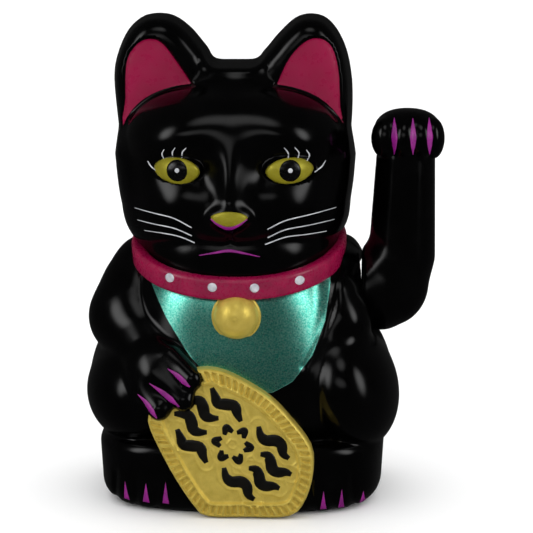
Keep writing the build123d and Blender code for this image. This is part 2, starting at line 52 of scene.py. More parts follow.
FOOT_Z = 0.2            # the shells end just above the floor, which the base plate stands on
FRONT, BACK = -1, 1
CELL = 0.8   # grid that the cat and its arm are meshed on
COIN_CELL = 0.55
TINY, FAR = 1e-9, 1e9


# ------------------------- distance fields, in millimetres
def smin(a, b, k):
    """Smooth union of two fields, blended over k."""
    h = np.clip(0.5 + 0.5 * (b - a) / k, 0.0, 1.0)
    return b + (a - b) * h - k * h * (1.0 - h)


def smax(a, b, k):
    """Smooth intersection."""
    return -smin(-a, -b, k)


def superquad(p, centre, radii, plan=2.0, upright=2.0, low_radius=None):
    """Rounded block. plan and upright are its squareness from above and from the side, 2 being round.

    low_radius takes the place of the upright radius below the centre.
    """
    d = p - np.asarray(centre)
    rz = np.where(d[:, 2] < 0, low_radius or radii[2], radii[2])
    flat = (np.abs(d[:, 0] / radii[0]) ** plan + np.abs(d[:, 1] / radii[1]) ** plan) ** (upright / plan)
    g = np.maximum((flat + np.abs(d[:, 2] / rz) ** upright) ** (1.0 / upright), 1e-4)
    return np.linalg.norm(d, axis=1) * (1.0 - 1.0 / g)


def ellipsoid(p, centre, radii, turn=0.0):
    """Ellipsoid, turned about Y by turn degrees (positive tips +X down)."""
    d = p - np.asarray(centre, float)
    if turn:
        c, s = math.cos(math.radians(turn)), math.sin(math.radians(turn))
        d = np.stack([d[:, 0] * c - d[:, 2] * s, d[:, 1], d[:, 0] * s + d[:, 2] * c], axis=1)
    r = np.asarray(radii, float)
    k0 = np.linalg.norm(d / r, axis=1)
    k1 = np.maximum(np.linalg.norm(d / (r * r), axis=1), 1e-6)
    return k0 * (k0 - 1.0) / k1


def capsule(p, a, b, ra, rb):
    """Round limb from a to b with end radii ra and rb."""
    a, b = np.asarray(a, float), np.asarray(b, float)
    ab = b - a
    h = np.clip((p - a) @ ab / (ab @ ab), 0.0, 1.0)
    return np.linalg.norm(p - a - h[:, None] * ab, axis=1) - (ra + (rb - ra) * h)


def squarish_tube(x, y, half_x, half_y, square):
    """Distance to the wall of an upright tube; square is its squareness, 2 being round."""
    g = (np.abs(x / half_x) ** square + np.abs(y / half_y) ** square) ** (1 / square)
    return np.hypot(x, y) * (1.0 - 1.0 / np.maximum(g, 1e-4))


def rounded(a, b, radius):
    """Distance to a rounded corner; a and b are the distances to its two sides, plus the radius."""
    return np.hypot(np.maximum(a, 0), np.maximum(b, 0)) + np.minimum(np.maximum(a, b), 0) - radius


def tube_along_x(p, radius):
    """Distance to a tube round the waving arm's axle."""
    return np.hypot(p[:, 1], p[:, 2] - AXIS_Z) - radius


def gap_squared(x, z, start, end):
    """Squared distance to a straight line in the XZ plane."""
    (ax, az), (bx, bz) = start, end
    ex, ez = bx - ax, bz - az
    wx, wz = x - ax, z - az
    t = np.clip((wx * ex + wz * ez) / (ex * ex + ez * ez), 0.0, 1.0)
    return (wx - ex * t) ** 2 + (wz - ez * t) ** 2


def polygon(x, z, points):
    """Signed distance to a polygon in the XZ plane, negative inside."""
    pts = np.asarray(points, float)
    best = np.full(x.shape, FAR)
    inside = np.zeros(x.shape, bool)
    for (ax, az), (bx, bz) in zip(pts, np.roll(pts, -1, axis=0)):
        best = np.minimum(best, gap_squared(x, z, (ax, az), (bx, bz)))
        crosses = (az > z) != (bz > z)
        inside ^= crosses & (x < ax + (z - az) * (bx - ax) / ((bz - az) or TINY))
    return np.where(inside, -1.0, 1.0) * np.sqrt(best)


SPAN = 40               # points made in each span of a smooth loop, before they are spaced evenly


def smooth_line(points, count):
    """Points on a smooth curve through the given ones, in even steps from one to the next."""
    pts = np.asarray(points, float)
    ext = np.vstack([2 * pts[0] - pts[1], pts, 2 * pts[-1] - pts[-2]])
    out = []
    for t in np.linspace(0, len(pts) - 1, count):
        i = min(int(t), len(pts) - 2)
        f = t - i
        a, b, c, d = ext[i:i + 4]
        out.append(0.5 * (2 * b + (c - a) * f + (2 * a - 5 * b + 4 * c - d) * f * f
                          + (3 * b - a - 3 * c + d) * f ** 3))
    return np.array(out)


def smooth_loop(points, count):
    """Evenly spaced points on a smooth closed curve through the given ones."""
    pts = np.asarray(points, float)
    line = smooth_line(np.vstack([pts[-2:], pts, pts[:3]]), SPAN * (len(pts) + 4) + 1)
    ring = line[2 * SPAN:SPAN * (len(pts) + 2)]
    closed = np.vstack([ring, ring[:1]])
    length = np.concatenate([[0], np.cumsum(np.linalg.norm(np.diff(closed, axis=0), axis=1))])
    at = np.linspace(0, length[-1], count, endpoint=False)
    return np.stack([np.interp(at, length, closed[:, k]) for k in range(2)], axis=1)


class Outline:
    """Smooth signed distance to a closed curve in the XZ plane, kept on a grid of whole millimetres."""

    LOW, HIGH = (-66, -6), (80, 190)
    LOOP_POINTS = 240

    def __init__(self, points):
        loop = smooth_loop(points, self.LOOP_POINTS)
        across, up = (np.arange(low, high, dtype=float) for low, high in zip(self.LOW, self.HIGH))
        gx, gz = np.meshgrid(across, up, indexing="ij")
        self.grid = polygon(gx.ravel(), gz.ravel(), loop).reshape(gx.shape)

    def __call__(self, x, z):
        """The grid's value at each x, z, read with cubic weights."""
        index, weights = [], []
        for value, low, size in zip((x, z), self.LOW, self.grid.shape):
            u = np.clip(value - low, 1.0, size - 3.001)
            i = u.astype(int)
            f = u - i
            index.append(i)
            weights.append((f * (-0.5 + f * (1.0 - 0.5 * f)), 1.0 + f * f * (-2.5 + 1.5 * f),
                            f * (0.5 + f * (2.0 - 1.5 * f)), f * f * (-0.5 + 0.5 * f)))
        total = 0.0
        for a in range(4):
            for b in range(4):
                value = self.grid[index[0] + a - 1, index[1] + b - 1]
                total = total + weights[0][a] * weights[1][b] * value
        return total


def in_front(p):
    """1 on the front of the cat, fading to 0 towards its sides."""
    return np.clip((-8.0 - p[:, 1]) / 10.0, 0.0, 1.0)


def bump(p, x, z, wide, high, turn=0.0):
    """Soft hill seen from the front, 1 at its middle."""
    c, s = math.cos(math.radians(turn)), math.sin(math.radians(turn))
    dx, dz = p[:, 0] - x, p[:, 2] - z
    u, v = (dx * c - dz * s) / wide, (dx * s + dz * c) / high
    return np.exp(-(u * u + v * v)) * in_front(p)


def groove(p, points, width):
    """Closeness to a line drawn on the front, 1 on the line."""
    best = np.full(len(p), FAR)
    for start, end in zip(points[:-1], points[1:]):
        best = np.minimum(best, gap_squared(p[:, 0], p[:, 2], start, end))
    return np.exp(-best / (width * width)) * in_front(p)


# ------------------------- the cat's form
HEAD_MIDDLE = (-3.1, 0.0, 124.0)
HEAD_RADII = (42.1, 37.5, 31.0)
EYES = ((-21.9, 125.8), (18.7, 126.0))
EYE_RADII = (8.5, 4.9)
SLAB_FRONT, SLAB_BACK = 15.0, 13.0      # the ears' faces, in front of and behind the seam
DRAFT = 0.20            # how much the ears narrow for each millimetre away from the seam
EAR_ROUNDING = 7.0
PANEL_DEPTH = 1.7       # how far the ear panels are sunk
PANEL_EDGE = 1.6        # width of their soft edge
HEAD_OUTLINE = [        # head and ears from the front, as x, z
    (-32, 100), (-41.0, 112), (-45.4, 128), (-47.7, 146), (-48.3, 158), (-46.4, 166.5), (-42.7, 174),
    (-37.4, 178.7), (-31.4, 180.0), (-25.4, 178.9), (-19.4, 174.6), (-13.7, 167.9), (-9.6, 163.1),
    (3.6, 163.1), (8.0, 166.8), (13.6, 173.4), (19.5, 178.6), (25.5, 180.0), (31.4, 178.0), (36.3, 171.6),
    (39.4, 162.5), (40.7, 150), (39.7, 134), (36.0, 114), (28, 100),
]
EAR_PANELS = (
    [(-43.2, 128), (-43.0, 150), (-42.4, 162.5), (-39.2, 168.6), (-34.4, 171.4),
     (-28.9, 169.9), (-22.5, 161.7), (-15.6, 151.0), (-10, 140)],
    [(4, 140), (10.1, 149.0), (16.9, 163.6), (23.3, 170.6), (28.9, 171.8),
     (33.4, 168.3), (35.7, 160), (36.4, 148), (36.5, 128)],
)
HEAD_EDGE = Outline(HEAD_OUTLINE)
PANEL_EDGES = [Outline(panel) for panel in EAR_PANELS]


def ear_panel_distance(x, z):
    return np.minimum(PANEL_EDGES[0](x, z), PANEL_EDGES[1](x, z))


def ear_panel_depth(p):
    """How far each point of the ears' front is sunk, in millimetres."""
    nearest = ear_panel_distance(p[:, 0], p[:, 2])
    return PANEL_DEPTH * np.clip(0.5 - nearest / PANEL_EDGE, 0.0, 1.0)


def head_ball(p):
    """The head's plain form, before the ears and the face."""
    return superquad(p, HEAD_MIDDLE, HEAD_RADII, plan=2.5, upright=3.0, low_radius=40.0)


# Soft hills and hollows of the face. Each row is height, place, width, height on the face and turn.
# The places round an eye are outwards and upwards from it, and the turn follows the side.
EYE_RELIEF = (
    (2.6, (3.0, 12.5), 15.0, 8.5, 14),          # brow
    (-2.4, (-1.0, 0.5), 10.5, 6.5, 0),          # eye socket
    (-2.2, (-9.5, 0.5), 4.5, 8.0, 0),           # hollow between the eye and the nose
    (2.0, (0.0, -14.0), 12.0, 8.5, 20),         # cheek
    (-1.1, (-5.0, -23.0), 8.0, 3.6, -30),       # hollow under the cheek
    (-1.2, (17.0, -6.0), 6.0, 15.0, 0),         # temple
)
MIDDLE_RELIEF = (
    (3.2, (-2.4, 120.0), 4.4, 14.0),            # nose bridge
    (1.4, (-2.5, 110.5), 6.5, 4.0),             # tip of the nose
    (2.0, (-10.1, 103.5), 8.5, 6.5),            # muzzle
    (2.0, (4.9, 103.5), 8.5, 6.5),
)
LIP_SPLIT = [(-2.6, 106.0), (-2.6, 98.5)]
MOUTH = [(-14.0, 94.8), (-8.5, 95.9), (-3.0, 96.8), (2.6, 95.9), (8.2, 94.6)]
BLEND = 11.0            # how softly the ears grow out of the head in its middle and lower down


def face_relief(p):
    """How far the face stands out from the head's plain form, in millimetres."""
    relief = np.zeros(len(p))
    for side, (ex, ez) in zip((-1, 1), EYES):
        for height, (out, up), wide, high, turn in EYE_RELIEF:
            relief += height * bump(p, ex + side * out, ez + up, wide, high, turn=side * turn)
    for height, (x, z), wide, high in MIDDLE_RELIEF:
        relief += height * bump(p, x, z, wide, high)
    relief -= 0.9 * groove(p, LIP_SPLIT, 1.3)
    relief -= 0.9 * groove(p, MOUTH, 1.5)
    return relief + 1.0 * bump(p, -2.7, 91.5, 9.0, 3.2)     # chin


def head_field(p):
    x, y, z = p[:, 0], p[:, 1], p[:, 2]
    outline = HEAD_EDGE(x, z) + DRAFT * (np.sqrt(y * y + 0.6) - 0.8)
    depth = np.where(y < 0, -y - SLAB_FRONT + ear_panel_depth(p), y - SLAB_BACK)
    rounding = EAR_ROUNDING * np.clip(np.abs(x - HEAD_MIDDLE[0]) / 9.0 - 0.4, 0.3, 1.0)
    ears = smax(outline, depth, rounding)

    middle = BLEND * np.exp(-((x - HEAD_MIDDLE[0]) / 13.0) ** 2)
    lower = BLEND * np.clip((142.0 - z) / 14.0, 0.0, 1.0)
    head = smin(head_ball(p) - face_relief(p), ears, 1.0 + np.maximum(middle, lower))
    for side, (ex, ez) in zip((-1, 1), EYES):
        turned = p.copy()
        turned[:, 1] += 0.26 * side * -(x - ex)     # the eyeballs follow the head round its sides
        eye = ellipsoid(turned, (ex, -30.4, ez), (EYE_RADII[0] + 1.3, 7.2, EYE_RADII[1] + 1.2))
        head = smin(head, eye, 0.6)
    nose = ellipsoid(p, (-2.6, -38.6, 109.2), (7.6, 3.7, 3.8))
    return smin(head, nose, 3.4)


# the three fingers of the resting paw, which lie over the coin
PAW_TIPS = ((-15.8, -46.8, 51.4), (-18.6, -47.6, 43.8), (-27.6, -47.0, 40.2))
PAW_ROOTS = ((-24.0, -40.0, 57.4), (-28.5, -41.0, 51.4), (-34.5, -39.5, 46.4))


def resting_arm_field(p):
    arm = capsule(p, (-38.8, -8.0, 75.0), (-41.0, -13.0, 68.0), 15.2, 15.0)
    arm = smin(arm, capsule(p, (-36.2, -4.0, 84.4), (-37.2, -5.0, 81.0), 12.9, 13.0), 5.0)
    arm = smin(arm, capsule(p, (-41.0, -13.0, 68.0), (-30.0, -29.0, 53.5), 15.2, 13.8), 5.0)
    paw = ellipsoid(p, (-27.5, -36.0, 49.0), (14.0, 11.0, 12.5), turn=42)
    for root, tip in zip(PAW_ROOTS, PAW_TIPS):
        paw = smin(paw, capsule(p, root, tip, 5.0, 4.1), 3.6)
    return smin(arm, paw, 4.0)


FOOT_HALF_HEIGHT = 12.8
FOOT_CORNERS = (4.6, 7.4)       # rounding of the foot block's top and bottom edges
TOE_GAPS = (-45.8, -37.6, -29.8, 27.4, 35.2, 42.4)


def foot_block_field(p):
    """The block that the cat sits on, a little wider at its top."""
    x, y, z = p[:, 0], p[:, 1], p[:, 2]
    corner = np.where(z > FOOT_HALF_HEIGHT, *FOOT_CORNERS)
    side = squarish_tube(x + 0.1, y + 0.6, 53.0 + 0.06 * (z - 14.0), 43.6, 3.4)
    level = np.abs(z - FOOT_HALF_HEIGHT) - FOOT_HALF_HEIGHT
    return rounded(side + corner, level + corner, corner)


def body_field(p):
    seat = superquad(p, (-1.0, 1.0, 40.0), (57.6, 44.0, 45.0), plan=2.3, upright=2.1, low_radius=31.5)
    chest = superquad(p, (-1.5, -1.0, 66.0), (43.0, 39.0, 34.0), plan=2.3, upright=2.4)
    body = smin(seat, chest, 9.0)
    neck = superquad(p, (-1.6, 0.4, 92.0), (37.5, 37.4, 16.0), plan=2.3, upright=3.0)
    body = smin(body, neck, 5.0)
    shoulder = ellipsoid(p, (30.0, -1.5, 78.5), (19.5, 22.0, 17.5))
    body = smin(body, shoulder, 4.0)
    body = smin(body, ellipsoid(p, (37.2, 7.0, 85.6), (7.8, 12.0, 10.6)), 3.0)

    # thighs over the seat, folds between chest and right thigh
    thigh_left = ellipsoid(p, (-35.2, -14.0, 41.0), (22.8, 30.0, 21.5))
    thigh_right = ellipsoid(p, (39.4, -13.0, 43.0), (18.9, 30.5, 25.0), turn=-18)
    body = smin(body, thigh_left, 2.0)
    body = smin(body, thigh_right, 2.0)
    fold = capsule(p, (33.5, -17.5, 77.0), (36.5, -20.0, 68.0), 10.5, 10.5)
    fold = smin(fold, capsule(p, (36.5, -20.0, 68.0), (20.0, -33.5, 38.0), 10.5, 8.2), 6.0)
    body = smin(body, fold, 4.0)
    body += 0.8 * groove(p, [(35.8, 88.0), (34.5, 76.0), (31.0, 65.0), (25.0, 54.5)], 1.8)

    feet = foot_block_field(p)
    for x0 in TOE_GAPS:
        feet = feet + 0.8 * groove(p, [(x0, 1.0), (x0 * 0.985, 13.0)], 1.2)
    body = smin(body, feet, 1.6)

    arm = resting_arm_field(p)
    body = smin(body, arm, 1.4)

    # tail lying round the back, and the recess for the waving arm
    tail = capsule(p, (-22.0, 38.2, 9.0), (4.0, 41.4, 10.0), 5.2, 5.0)
    tail = smin(tail, capsule(p, (4.0, 41.4, 10.0), (24.0, 38.4, 13.5), 5.0, 4.0), 4.0)
    body = smin(body, tail, 2.5)
    pocket = np.maximum(POCKET_X - p[:, 0], tube_along_x(p, POCKET_RADIUS))
    return smax(body, -pocket, 1.0)


def cat_field(p):
    """Whole outer form of the cat without its waving arm."""
    cat = smin(body_field(p), head_field(p), 1.5)
    return np.maximum(cat, FOOT_Z - p[:, 2])


def cavity_field(p):
    """The space inside the shells: one plain hollow, never nearer to the outside than the wall."""
    low = superquad(p, (-1.0, 0.5, 34.0), (53.0, 40.5, 52.0), plan=2.5, upright=3.0, low_radius=60.0)
    high = superquad(p, (-3.0, 0.0, 120.0), (39.0, 32.0, 34.0), plan=2.4, upright=2.6, low_radius=60.0)
    return smin(low, high, 6.0)


PLATE_ROOM = (44.0, 35.0, 4.0)      # half width, half depth and height of the opening underneath
PLATE_SQUARE = 2.7


def shell_field(side):
    """Half of the hollow cat: side is FRONT or BACK."""
    def field(p):
        x, y, z = p[:, 0], p[:, 1], p[:, 2]
        outer = cat_field(p)
        hollow = smax(cavity_field(p), outer + SHELL_WALL, 0.8)
        wall = smax(outer, -hollow, 0.5)
        # open underneath, where the base plate and its door close the shells
        half_x, half_y, height = PLATE_ROOM
        plan = (np.abs(x) / half_x) ** PLATE_SQUARE + (np.abs(y) / half_y) ** PLATE_SQUARE
        plate_room = np.maximum((plan ** (1 / PLATE_SQUARE) - 1.0) * half_y, z - height)
        hub_hole = np.maximum(tube_along_x(p, 7.5), 38.0 - x)
        door_slot = np.maximum(np.abs(x + 0.5) - 32.5, z - 2.6)
        door_slot = np.maximum(door_slot, 30.0 - y)
        for opening in (plate_room, hub_hole, door_slot):
            wall = smax(wall, -opening, 0.3)
        return smax(wall, side * (SEAM_Y - y) + 0.04, 0.5)
    return field


PAW_LOBES = ((52.8, 5.2), (59.9, 5.3), (66.2, 5.1), (70.6, 4.2))    # place across and half width


def waving_arm_field(p):
    x, z = p[:, 0], p[:, 2]
    stub = smax(tube_along_x(p, 13.2), ARM_FACE_X - x, 1.2)
    stub = smax(stub, x - 57.0, 6.0)
    elbow = ellipsoid(p, (54.4, 0.0, 79.2), (15.2, 13.2, 16.6))
    tube = capsule(p, (59.4, 0.0, 90.0), (60.5, 0.0, 126.0), 12.5, 11.0)
    tube = smax(tube, z - 131.0, 2.0)
    arm = smin(smin(stub, elbow, 3.0), tube, 4.0)
    arm = smax(arm, ARM_FACE_X - x, 1.0)
    hand = superquad(p, (61.1, 0.5, 136.0), (12.6, 12.2, 8.9), plan=2.2, upright=2.3)
    fingers = np.full(len(p), FAR)
    for lobe_x, lobe_r in PAW_LOBES:
        lobe_y = -7.5 + 0.0275 * (lobe_x - 61) ** 2
        fingers = smin(fingers, ellipsoid(p, (lobe_x, lobe_y, 134.4), (lobe_r, 6.4, 7.6)), 0.8)
    hand = smin(hand, fingers, 1.2)
    return smin(arm, hand, 1.2)


def arm_half_field(side):
    """Half of the hollow waving arm: side is FRONT or BACK."""
    def field(p):
        outer = waving_arm_field(p)
        wall = smax(outer, -(outer + ARM_WALL), 0.3)
        hub_hole = np.maximum(tube_along_x(p, 6.1), p[:, 0] - 48.0)
        wall = smax(wall, -hub_hole, 0.2)
        return smax(wall, side * (-p[:, 1]) + 0.03, 0.35)
    return field


# ------------------------- field to mesh
CORNERS = np.array([(i, j, k) for i in (0, 1) for j in (0, 1) for k in (0, 1)])
EDGES = [(a, b) for a in range(8) for b in range(a + 1, 8) if np.abs(CORNERS[a] - CORNERS[b]).sum() == 1]


def gradient(field, p, step=0.05):
    g = np.empty_like(p)
    for axis in range(3):
        shift = np.zeros(3)
        shift[axis] = step
        g[:, axis] = (field(p + shift) - field(p - shift)) / (2 * step)
    return g


def unit(vectors):
    return vectors / np.maximum(np.linalg.norm(vectors, axis=1), TINY)[:, None]


BLOCK = 4               # grid steps along each edge of the blocks that are tried first
SAFETY, MARGIN = 1.45, 0.6      # how far past its half diagonal a block still counts as near the surface
BATCH = 400000          # grid points worked out at a time


def grid_index(counts):
    """Every whole i, j, k below the counts."""
    return np.stack(np.meshgrid(*(np.arange(n) for n in counts), indexing="ij"), axis=-1).reshape(-1, 3)


def sample(field, low, cell, counts):
    """Field values on a grid, worked out only near the surface."""
    blocks = (counts + BLOCK - 1) // BLOCK
    index = grid_index(blocks)
    values = field(low + (index + 0.5) * BLOCK * cell)
    near = np.abs(values) < SAFETY * BLOCK * cell * 0.87 + MARGIN
    values = values.reshape(blocks)
    for axis in range(3):
        values = np.repeat(values, BLOCK, axis)
    values = np.pad(values, ((0, 1),) * 3, mode="edge")
    wanted = np.zeros(values.shape, bool)
    nodes = (index[near] * BLOCK)[:, None, :] + grid_index((BLOCK + 1,) * 3)[None, :, :]
    wanted[tuple(nodes.reshape(-1, 3).T)] = True
    picked = np.argwhere(wanted)
    for start in range(0, len(picked), BATCH):
        part = picked[start:start + BATCH]
        values[tuple(part.T)] = field(low + part * cell)
    return values


SETTLING_ROUNDS = 2


def surface_net(field, low, high, cell):
    """Quad mesh of the surface where the field is zero, its points settled onto that surface."""
    low = np.asarray(low, float) - 1.5 * cell
    counts = np.ceil((np.asarray(high, float) + 1.5 * cell - low) / cell).astype(int)
    values = sample(field, low, cell, counts)
    inside = values < 0
    nx, ny, nz = (n - 1 for n in values.shape)
    total = sum(inside[i:i + nx, j:j + ny, k:k + nz].astype(np.int8) for i, j, k in CORNERS)
    cells = np.argwhere((total > 0) & (total < 8))
    corner = np.stack([values[tuple((cells + offset).T)] for offset in CORNERS], axis=1)
    position = np.zeros((len(cells), 3))
    hits = np.zeros(len(cells))
    for a, b in EDGES:
        va, vb = corner[:, a], corner[:, b]
        cut = (va < 0) != (vb < 0)
        t = np.where(cut, va / np.where(cut, va - vb, 1.0), 0.0)
        position += cut[:, None] * (CORNERS[a] + t[:, None] * (CORNERS[b] - CORNERS[a]))
        hits += cut
    points = low + (cells + position / hits[:, None]) * cell
    for _ in range(SETTLING_ROUNDS):
        g = gradient(field, points)
        f = field(points)
        step = g * (f / np.maximum((g * g).sum(axis=1), 0.2))[:, None]
        length = np.linalg.norm(step, axis=1)
        points -= step * np.minimum(1.0, 0.5 * cell / np.maximum(length, TINY))[:, None]
    number = np.full((nx, ny, nz), -1, np.int64)
    number[tuple(cells.T)] = np.arange(len(cells))
    quads = []
    for axis in range(3):
        u, v = (axis + 1) % 3, (axis + 2) % 3
        ahead = [slice(None)] * 3
        here = [slice(None)] * 3
        ahead[axis], here[axis] = slice(1, None), slice(None, -1)
        start, end = inside[tuple(here)], inside[tuple(ahead)]
        for flip, change in ((False, start & ~end), (True, ~start & end)):
            at = np.argwhere(change)
            for across in (u, v):
                at = at[(at[:, across] > 0) & (at[:, across] < number.shape[across])]
            ring = []
            for du, dv in ((0, 0), (-1, 0), (-1, -1), (0, -1)):
                c = at.copy()
                c[:, u] += du
                c[:, v] += dv
                ring.append(number[tuple(c.T)])
            quads.append(np.stack(ring[::-1] if flip else ring, axis=1))
    quads = np.concatenate(quads)
    return points, quads[(quads >= 0).all(axis=1)]


def mesh_object(name, points_mm, faces, normals=None):
    """A smooth mesh piece from points in millimetres."""
    mesh = bpy.data.meshes.new(name)
    faces = [tuple(int(i) for i in face) for face in faces]
    mesh.from_pydata((np.asarray(points_mm) * MM).tolist(), [], faces)
    mesh.validate()
    mesh.polygons.foreach_set("use_smooth", [True] * len(mesh.polygons))
    if normals is not None:
        mesh.normals_split_custom_set_from_vertices(normals.tolist())
    mesh.update()
    piece = bpy.data.objects.new(name, mesh)
    bpy.context.scene.collection.objects.link(piece)
    return piece


def sculpt(name, field, low, high, cell):
    """A piece whose surface and normals are the field's."""
    points, quads = surface_net(field, low, high, cell)
    return mesh_object(name, points, quads, normals=unit(gradient(field, points)))


# ------------------------- paint laid on the sculpted surface
RAY_START = -62.0       # in front of everything
RAY_STEPS = 70
EDGE_LIFT = 0.02        # how far a layer of paint stands out at its edge
PAINT_SINK = 0.25       # how far its underside lies below the surface


def on_front(field, xz):
    """The first point of the surface met from the front at each x, z."""
    x, z = xz.T
    y = np.full(x.shape, RAY_START)
    for _ in range(RAY_STEPS):
        y += np.clip(field(np.stack([x, y, z], axis=1)) * 0.75, -4.0, 4.0)
    return np.stack([x, y, z], axis=1)


def band(first, second, width, closed=True):
    """Quads between two rows of points that start at these numbers; closed joins the rows' ends."""
    pairs = [(j, (j + 1) % width) for j in range(width if closed else width - 1)]
    return [(first + j, second + j, second + k, first + k) for j, k in pairs]


def raised_sheet(name, rows, field, lift, closed=False):
    """Thin layer of paint over a grid of x, z points, lying on the field's front surface.

    closed means that each row is a ring and the last one is the edge.
    """
    rows = np.asarray(rows, float)
    count, width = rows.shape[:2]
    base = on_front(field, rows.reshape(-1, 2))
    normal = unit(gradient(field, base))
    height = np.full((count, width), lift)
    height[-1, :] = EDGE_LIFT
    if not closed:
        height[:, 0] = height[:, -1] = height[0, :] = EDGE_LIFT
    top = base + normal * height.reshape(-1, 1)
    bottom = base - normal * PAINT_SINK
    points = np.concatenate([top, bottom])
    shift = count * width
    faces = []
    for first in range(0, shift - width, width):
        for a, d, c, b in band(first, first + width, width, closed):
            faces += [(a, b, c, d), (a + shift, d + shift, c + shift, b + shift)]
    if closed:
        for a, d, c, b in band(shift - width, 2 * shift - width, width):
            faces.append((a, b, c, d))
        faces += [tuple(range(width))[::-1], tuple(range(shift, shift + width))]
    else:
        edge = [(0, j) for j in range(width)] + [(i, width - 1) for i in range(1, count)]
        edge += [(count - 1, j) for j in range(width - 2, -1, -1)] + [(i, 0) for i in range(count - 2, 0, -1)]
        loop = [i * width + j for i, j in edge]
        for a, b in zip(loop, loop[1:] + loop[:1]):
            faces.append((b, a, a + shift, b + shift))
    return mesh_object(name, points, faces)


def spot(name, outline, field, rings, lift):
    """Painted area with a closed outline of x, z points, filled from its middle outwards."""
    outline = np.asarray(outline, float)
    middle = outline.mean(axis=0)
    rows = [middle + (outline - middle) * r for r in np.linspace(0.04, 1.0, rings)]
    return raised_sheet(name, rows, field, lift, closed=True)


def stroke(name, points, widths, field, count=40, lift=0.14):
    """Brush stroke along x, z points; widths are its full width from start to end."""
    line = smooth_line(points, count)
    along = np.gradient(line, axis=0)
    along /= np.linalg.norm(along, axis=1)[:, None]
    across = np.stack([-along[:, 1], along[:, 0]], axis=1)
    width = np.interp(np.linspace(0, 1, count), np.linspace(0, 1, len(widths)), widths)
    rows = [[line[i] + across[i] * width[i] * s for s in (0.5, 0.25, 0.0, -0.25, -0.5)]
            for i in range(count)]
    return raised_sheet(name, rows, field, lift)


def oval(x, z, rx, rz, count):
    a = np.linspace(0, 2 * math.pi, count, endpoint=False)
    return np.stack([x + rx * np.cos(a), z + rz * np.sin(a)], axis=1)


# ------------------------- materials
def srgb(*values):
    return tuple((v / 255) ** 2.2 for v in values) + (1.0,)


def add(tree, kind, inputs, output=0, **settings):
    """A new node with each input set or linked. Returns the output asked for, if any."""
    node = tree.nodes.new("ShaderNode" + kind)
    for key, value in settings.items():
        setattr(node, key, value)
    for socket, value in inputs.items():
        if isinstance(value, bpy.types.NodeSocket):
            tree.links.new(value, node.inputs[socket])
        else:
            node.inputs[socket].default_value = value
    return None if output is None else node.outputs[output]


class Finish:
    """A Principled material with procedural detail in object space."""

    def __init__(self, name, base, roughness, metallic=0.0, ior=1.5):
        self.material = bpy.data.materials.new(name)
        self.material.use_nodes = True
        self.tree = self.material.node_tree
        self.shader = self.tree.nodes["Principled BSDF"]
        numbers = {"Base Color": base, "Roughness": roughness, "Metallic": metallic, "IOR": ior}
        for socket, value in numbers.items():
            self.shader.inputs[socket].default_value = value
        self.where = add(self.tree, "TexCoord", {}, "Object")

    def link(self, output, target):
        self.tree.links.new(output, target)

    def noise(self, size_mm, detail=3.0, rough=0.5, stretch=(1, 1, 1)):
        where = add(self.tree, "Mapping", {"Scale": stretch, "Vector": self.where}, "Vector")
        inputs = {"Scale": 1000.0 / size_mm, "Detail": detail, "Roughness": rough, "Vector": where}
        return add(self.tree, "TexNoise", inputs, "Fac")

    def cells(self, size_mm):
        """Distance from the middles of small cells, such as flakes."""
        inputs = {"Scale": 1000.0 / size_mm, "Vector": self.where}
        return add(self.tree, "TexVoronoi", inputs, "Distance")

    def ramp(self, value, low, high, to_low=0.0, to_high=1.0):
        inputs = {"Value": value, "From Min": low, "From Max": high, "To Min": to_low, "To Max": to_high}
        return add(self.tree, "MapRange", inputs, "Result", clamp=True)

    def mix(self, factor, a, b):
        return add(self.tree, "Mix", {0: factor, 6: a, 7: b}, 2, data_type="RGBA")

    def mix_value(self, factor, a, b):
        return add(self.tree, "Mix", {0: factor, 2: a, 3: b}, 0, data_type="FLOAT")

    def maths(self, operation, a, b):
        return add(self.tree, "Math", {0: a, 1: b}, 0, operation=operation)

    def attribute(self, name):
        return add(self.tree, "Attribute", {}, "Fac", attribute_name=name)

    def colour(self, output):
        self.link(output, self.shader.inputs["Base Color"])

    def roughness(self, output):
        self.link(output, self.shader.inputs["Roughness"])

    def metallic(self, output):
        self.link(output, self.shader.inputs["Metallic"])

    def bump(self, height, strength, depth_mm):
        """Adds to the bumps that the shader already has."""
        inputs = {"Strength": strength, "Distance": depth_mm * MM, "Height": height}
        normal = self.shader.inputs["Normal"]
        if normal.is_linked:
            inputs["Normal"] = normal.links[0].from_socket
        self.link(add(self.tree, "Bump", inputs, "Normal"), normal)

    def plain_wear(self, base, darker, size_mm, rough_low, rough_high):
        """Mottled colour, uneven gloss and a fine surface grain."""
        mottle = self.noise(size_mm)
        self.colour(self.mix(self.ramp(mottle, 0.35, 0.7), base, darker))
        self.roughness(self.ramp(self.noise(size_mm * 0.4, 4.0), 0.3, 0.72, rough_low, rough_high))
        self.bump(self.noise(size_mm * 0.08, 2.0), 0.25, 0.03)
        return self.material


BLACK = srgb(5, 5, 6)
MAGENTA = srgb(135, 8, 58)
PURPLE = srgb(138, 30, 124)
EYE_GOLD = srgb(158, 150, 38)
GOLD = srgb(230, 203, 96)
TEAL = srgb(160, 240, 220)


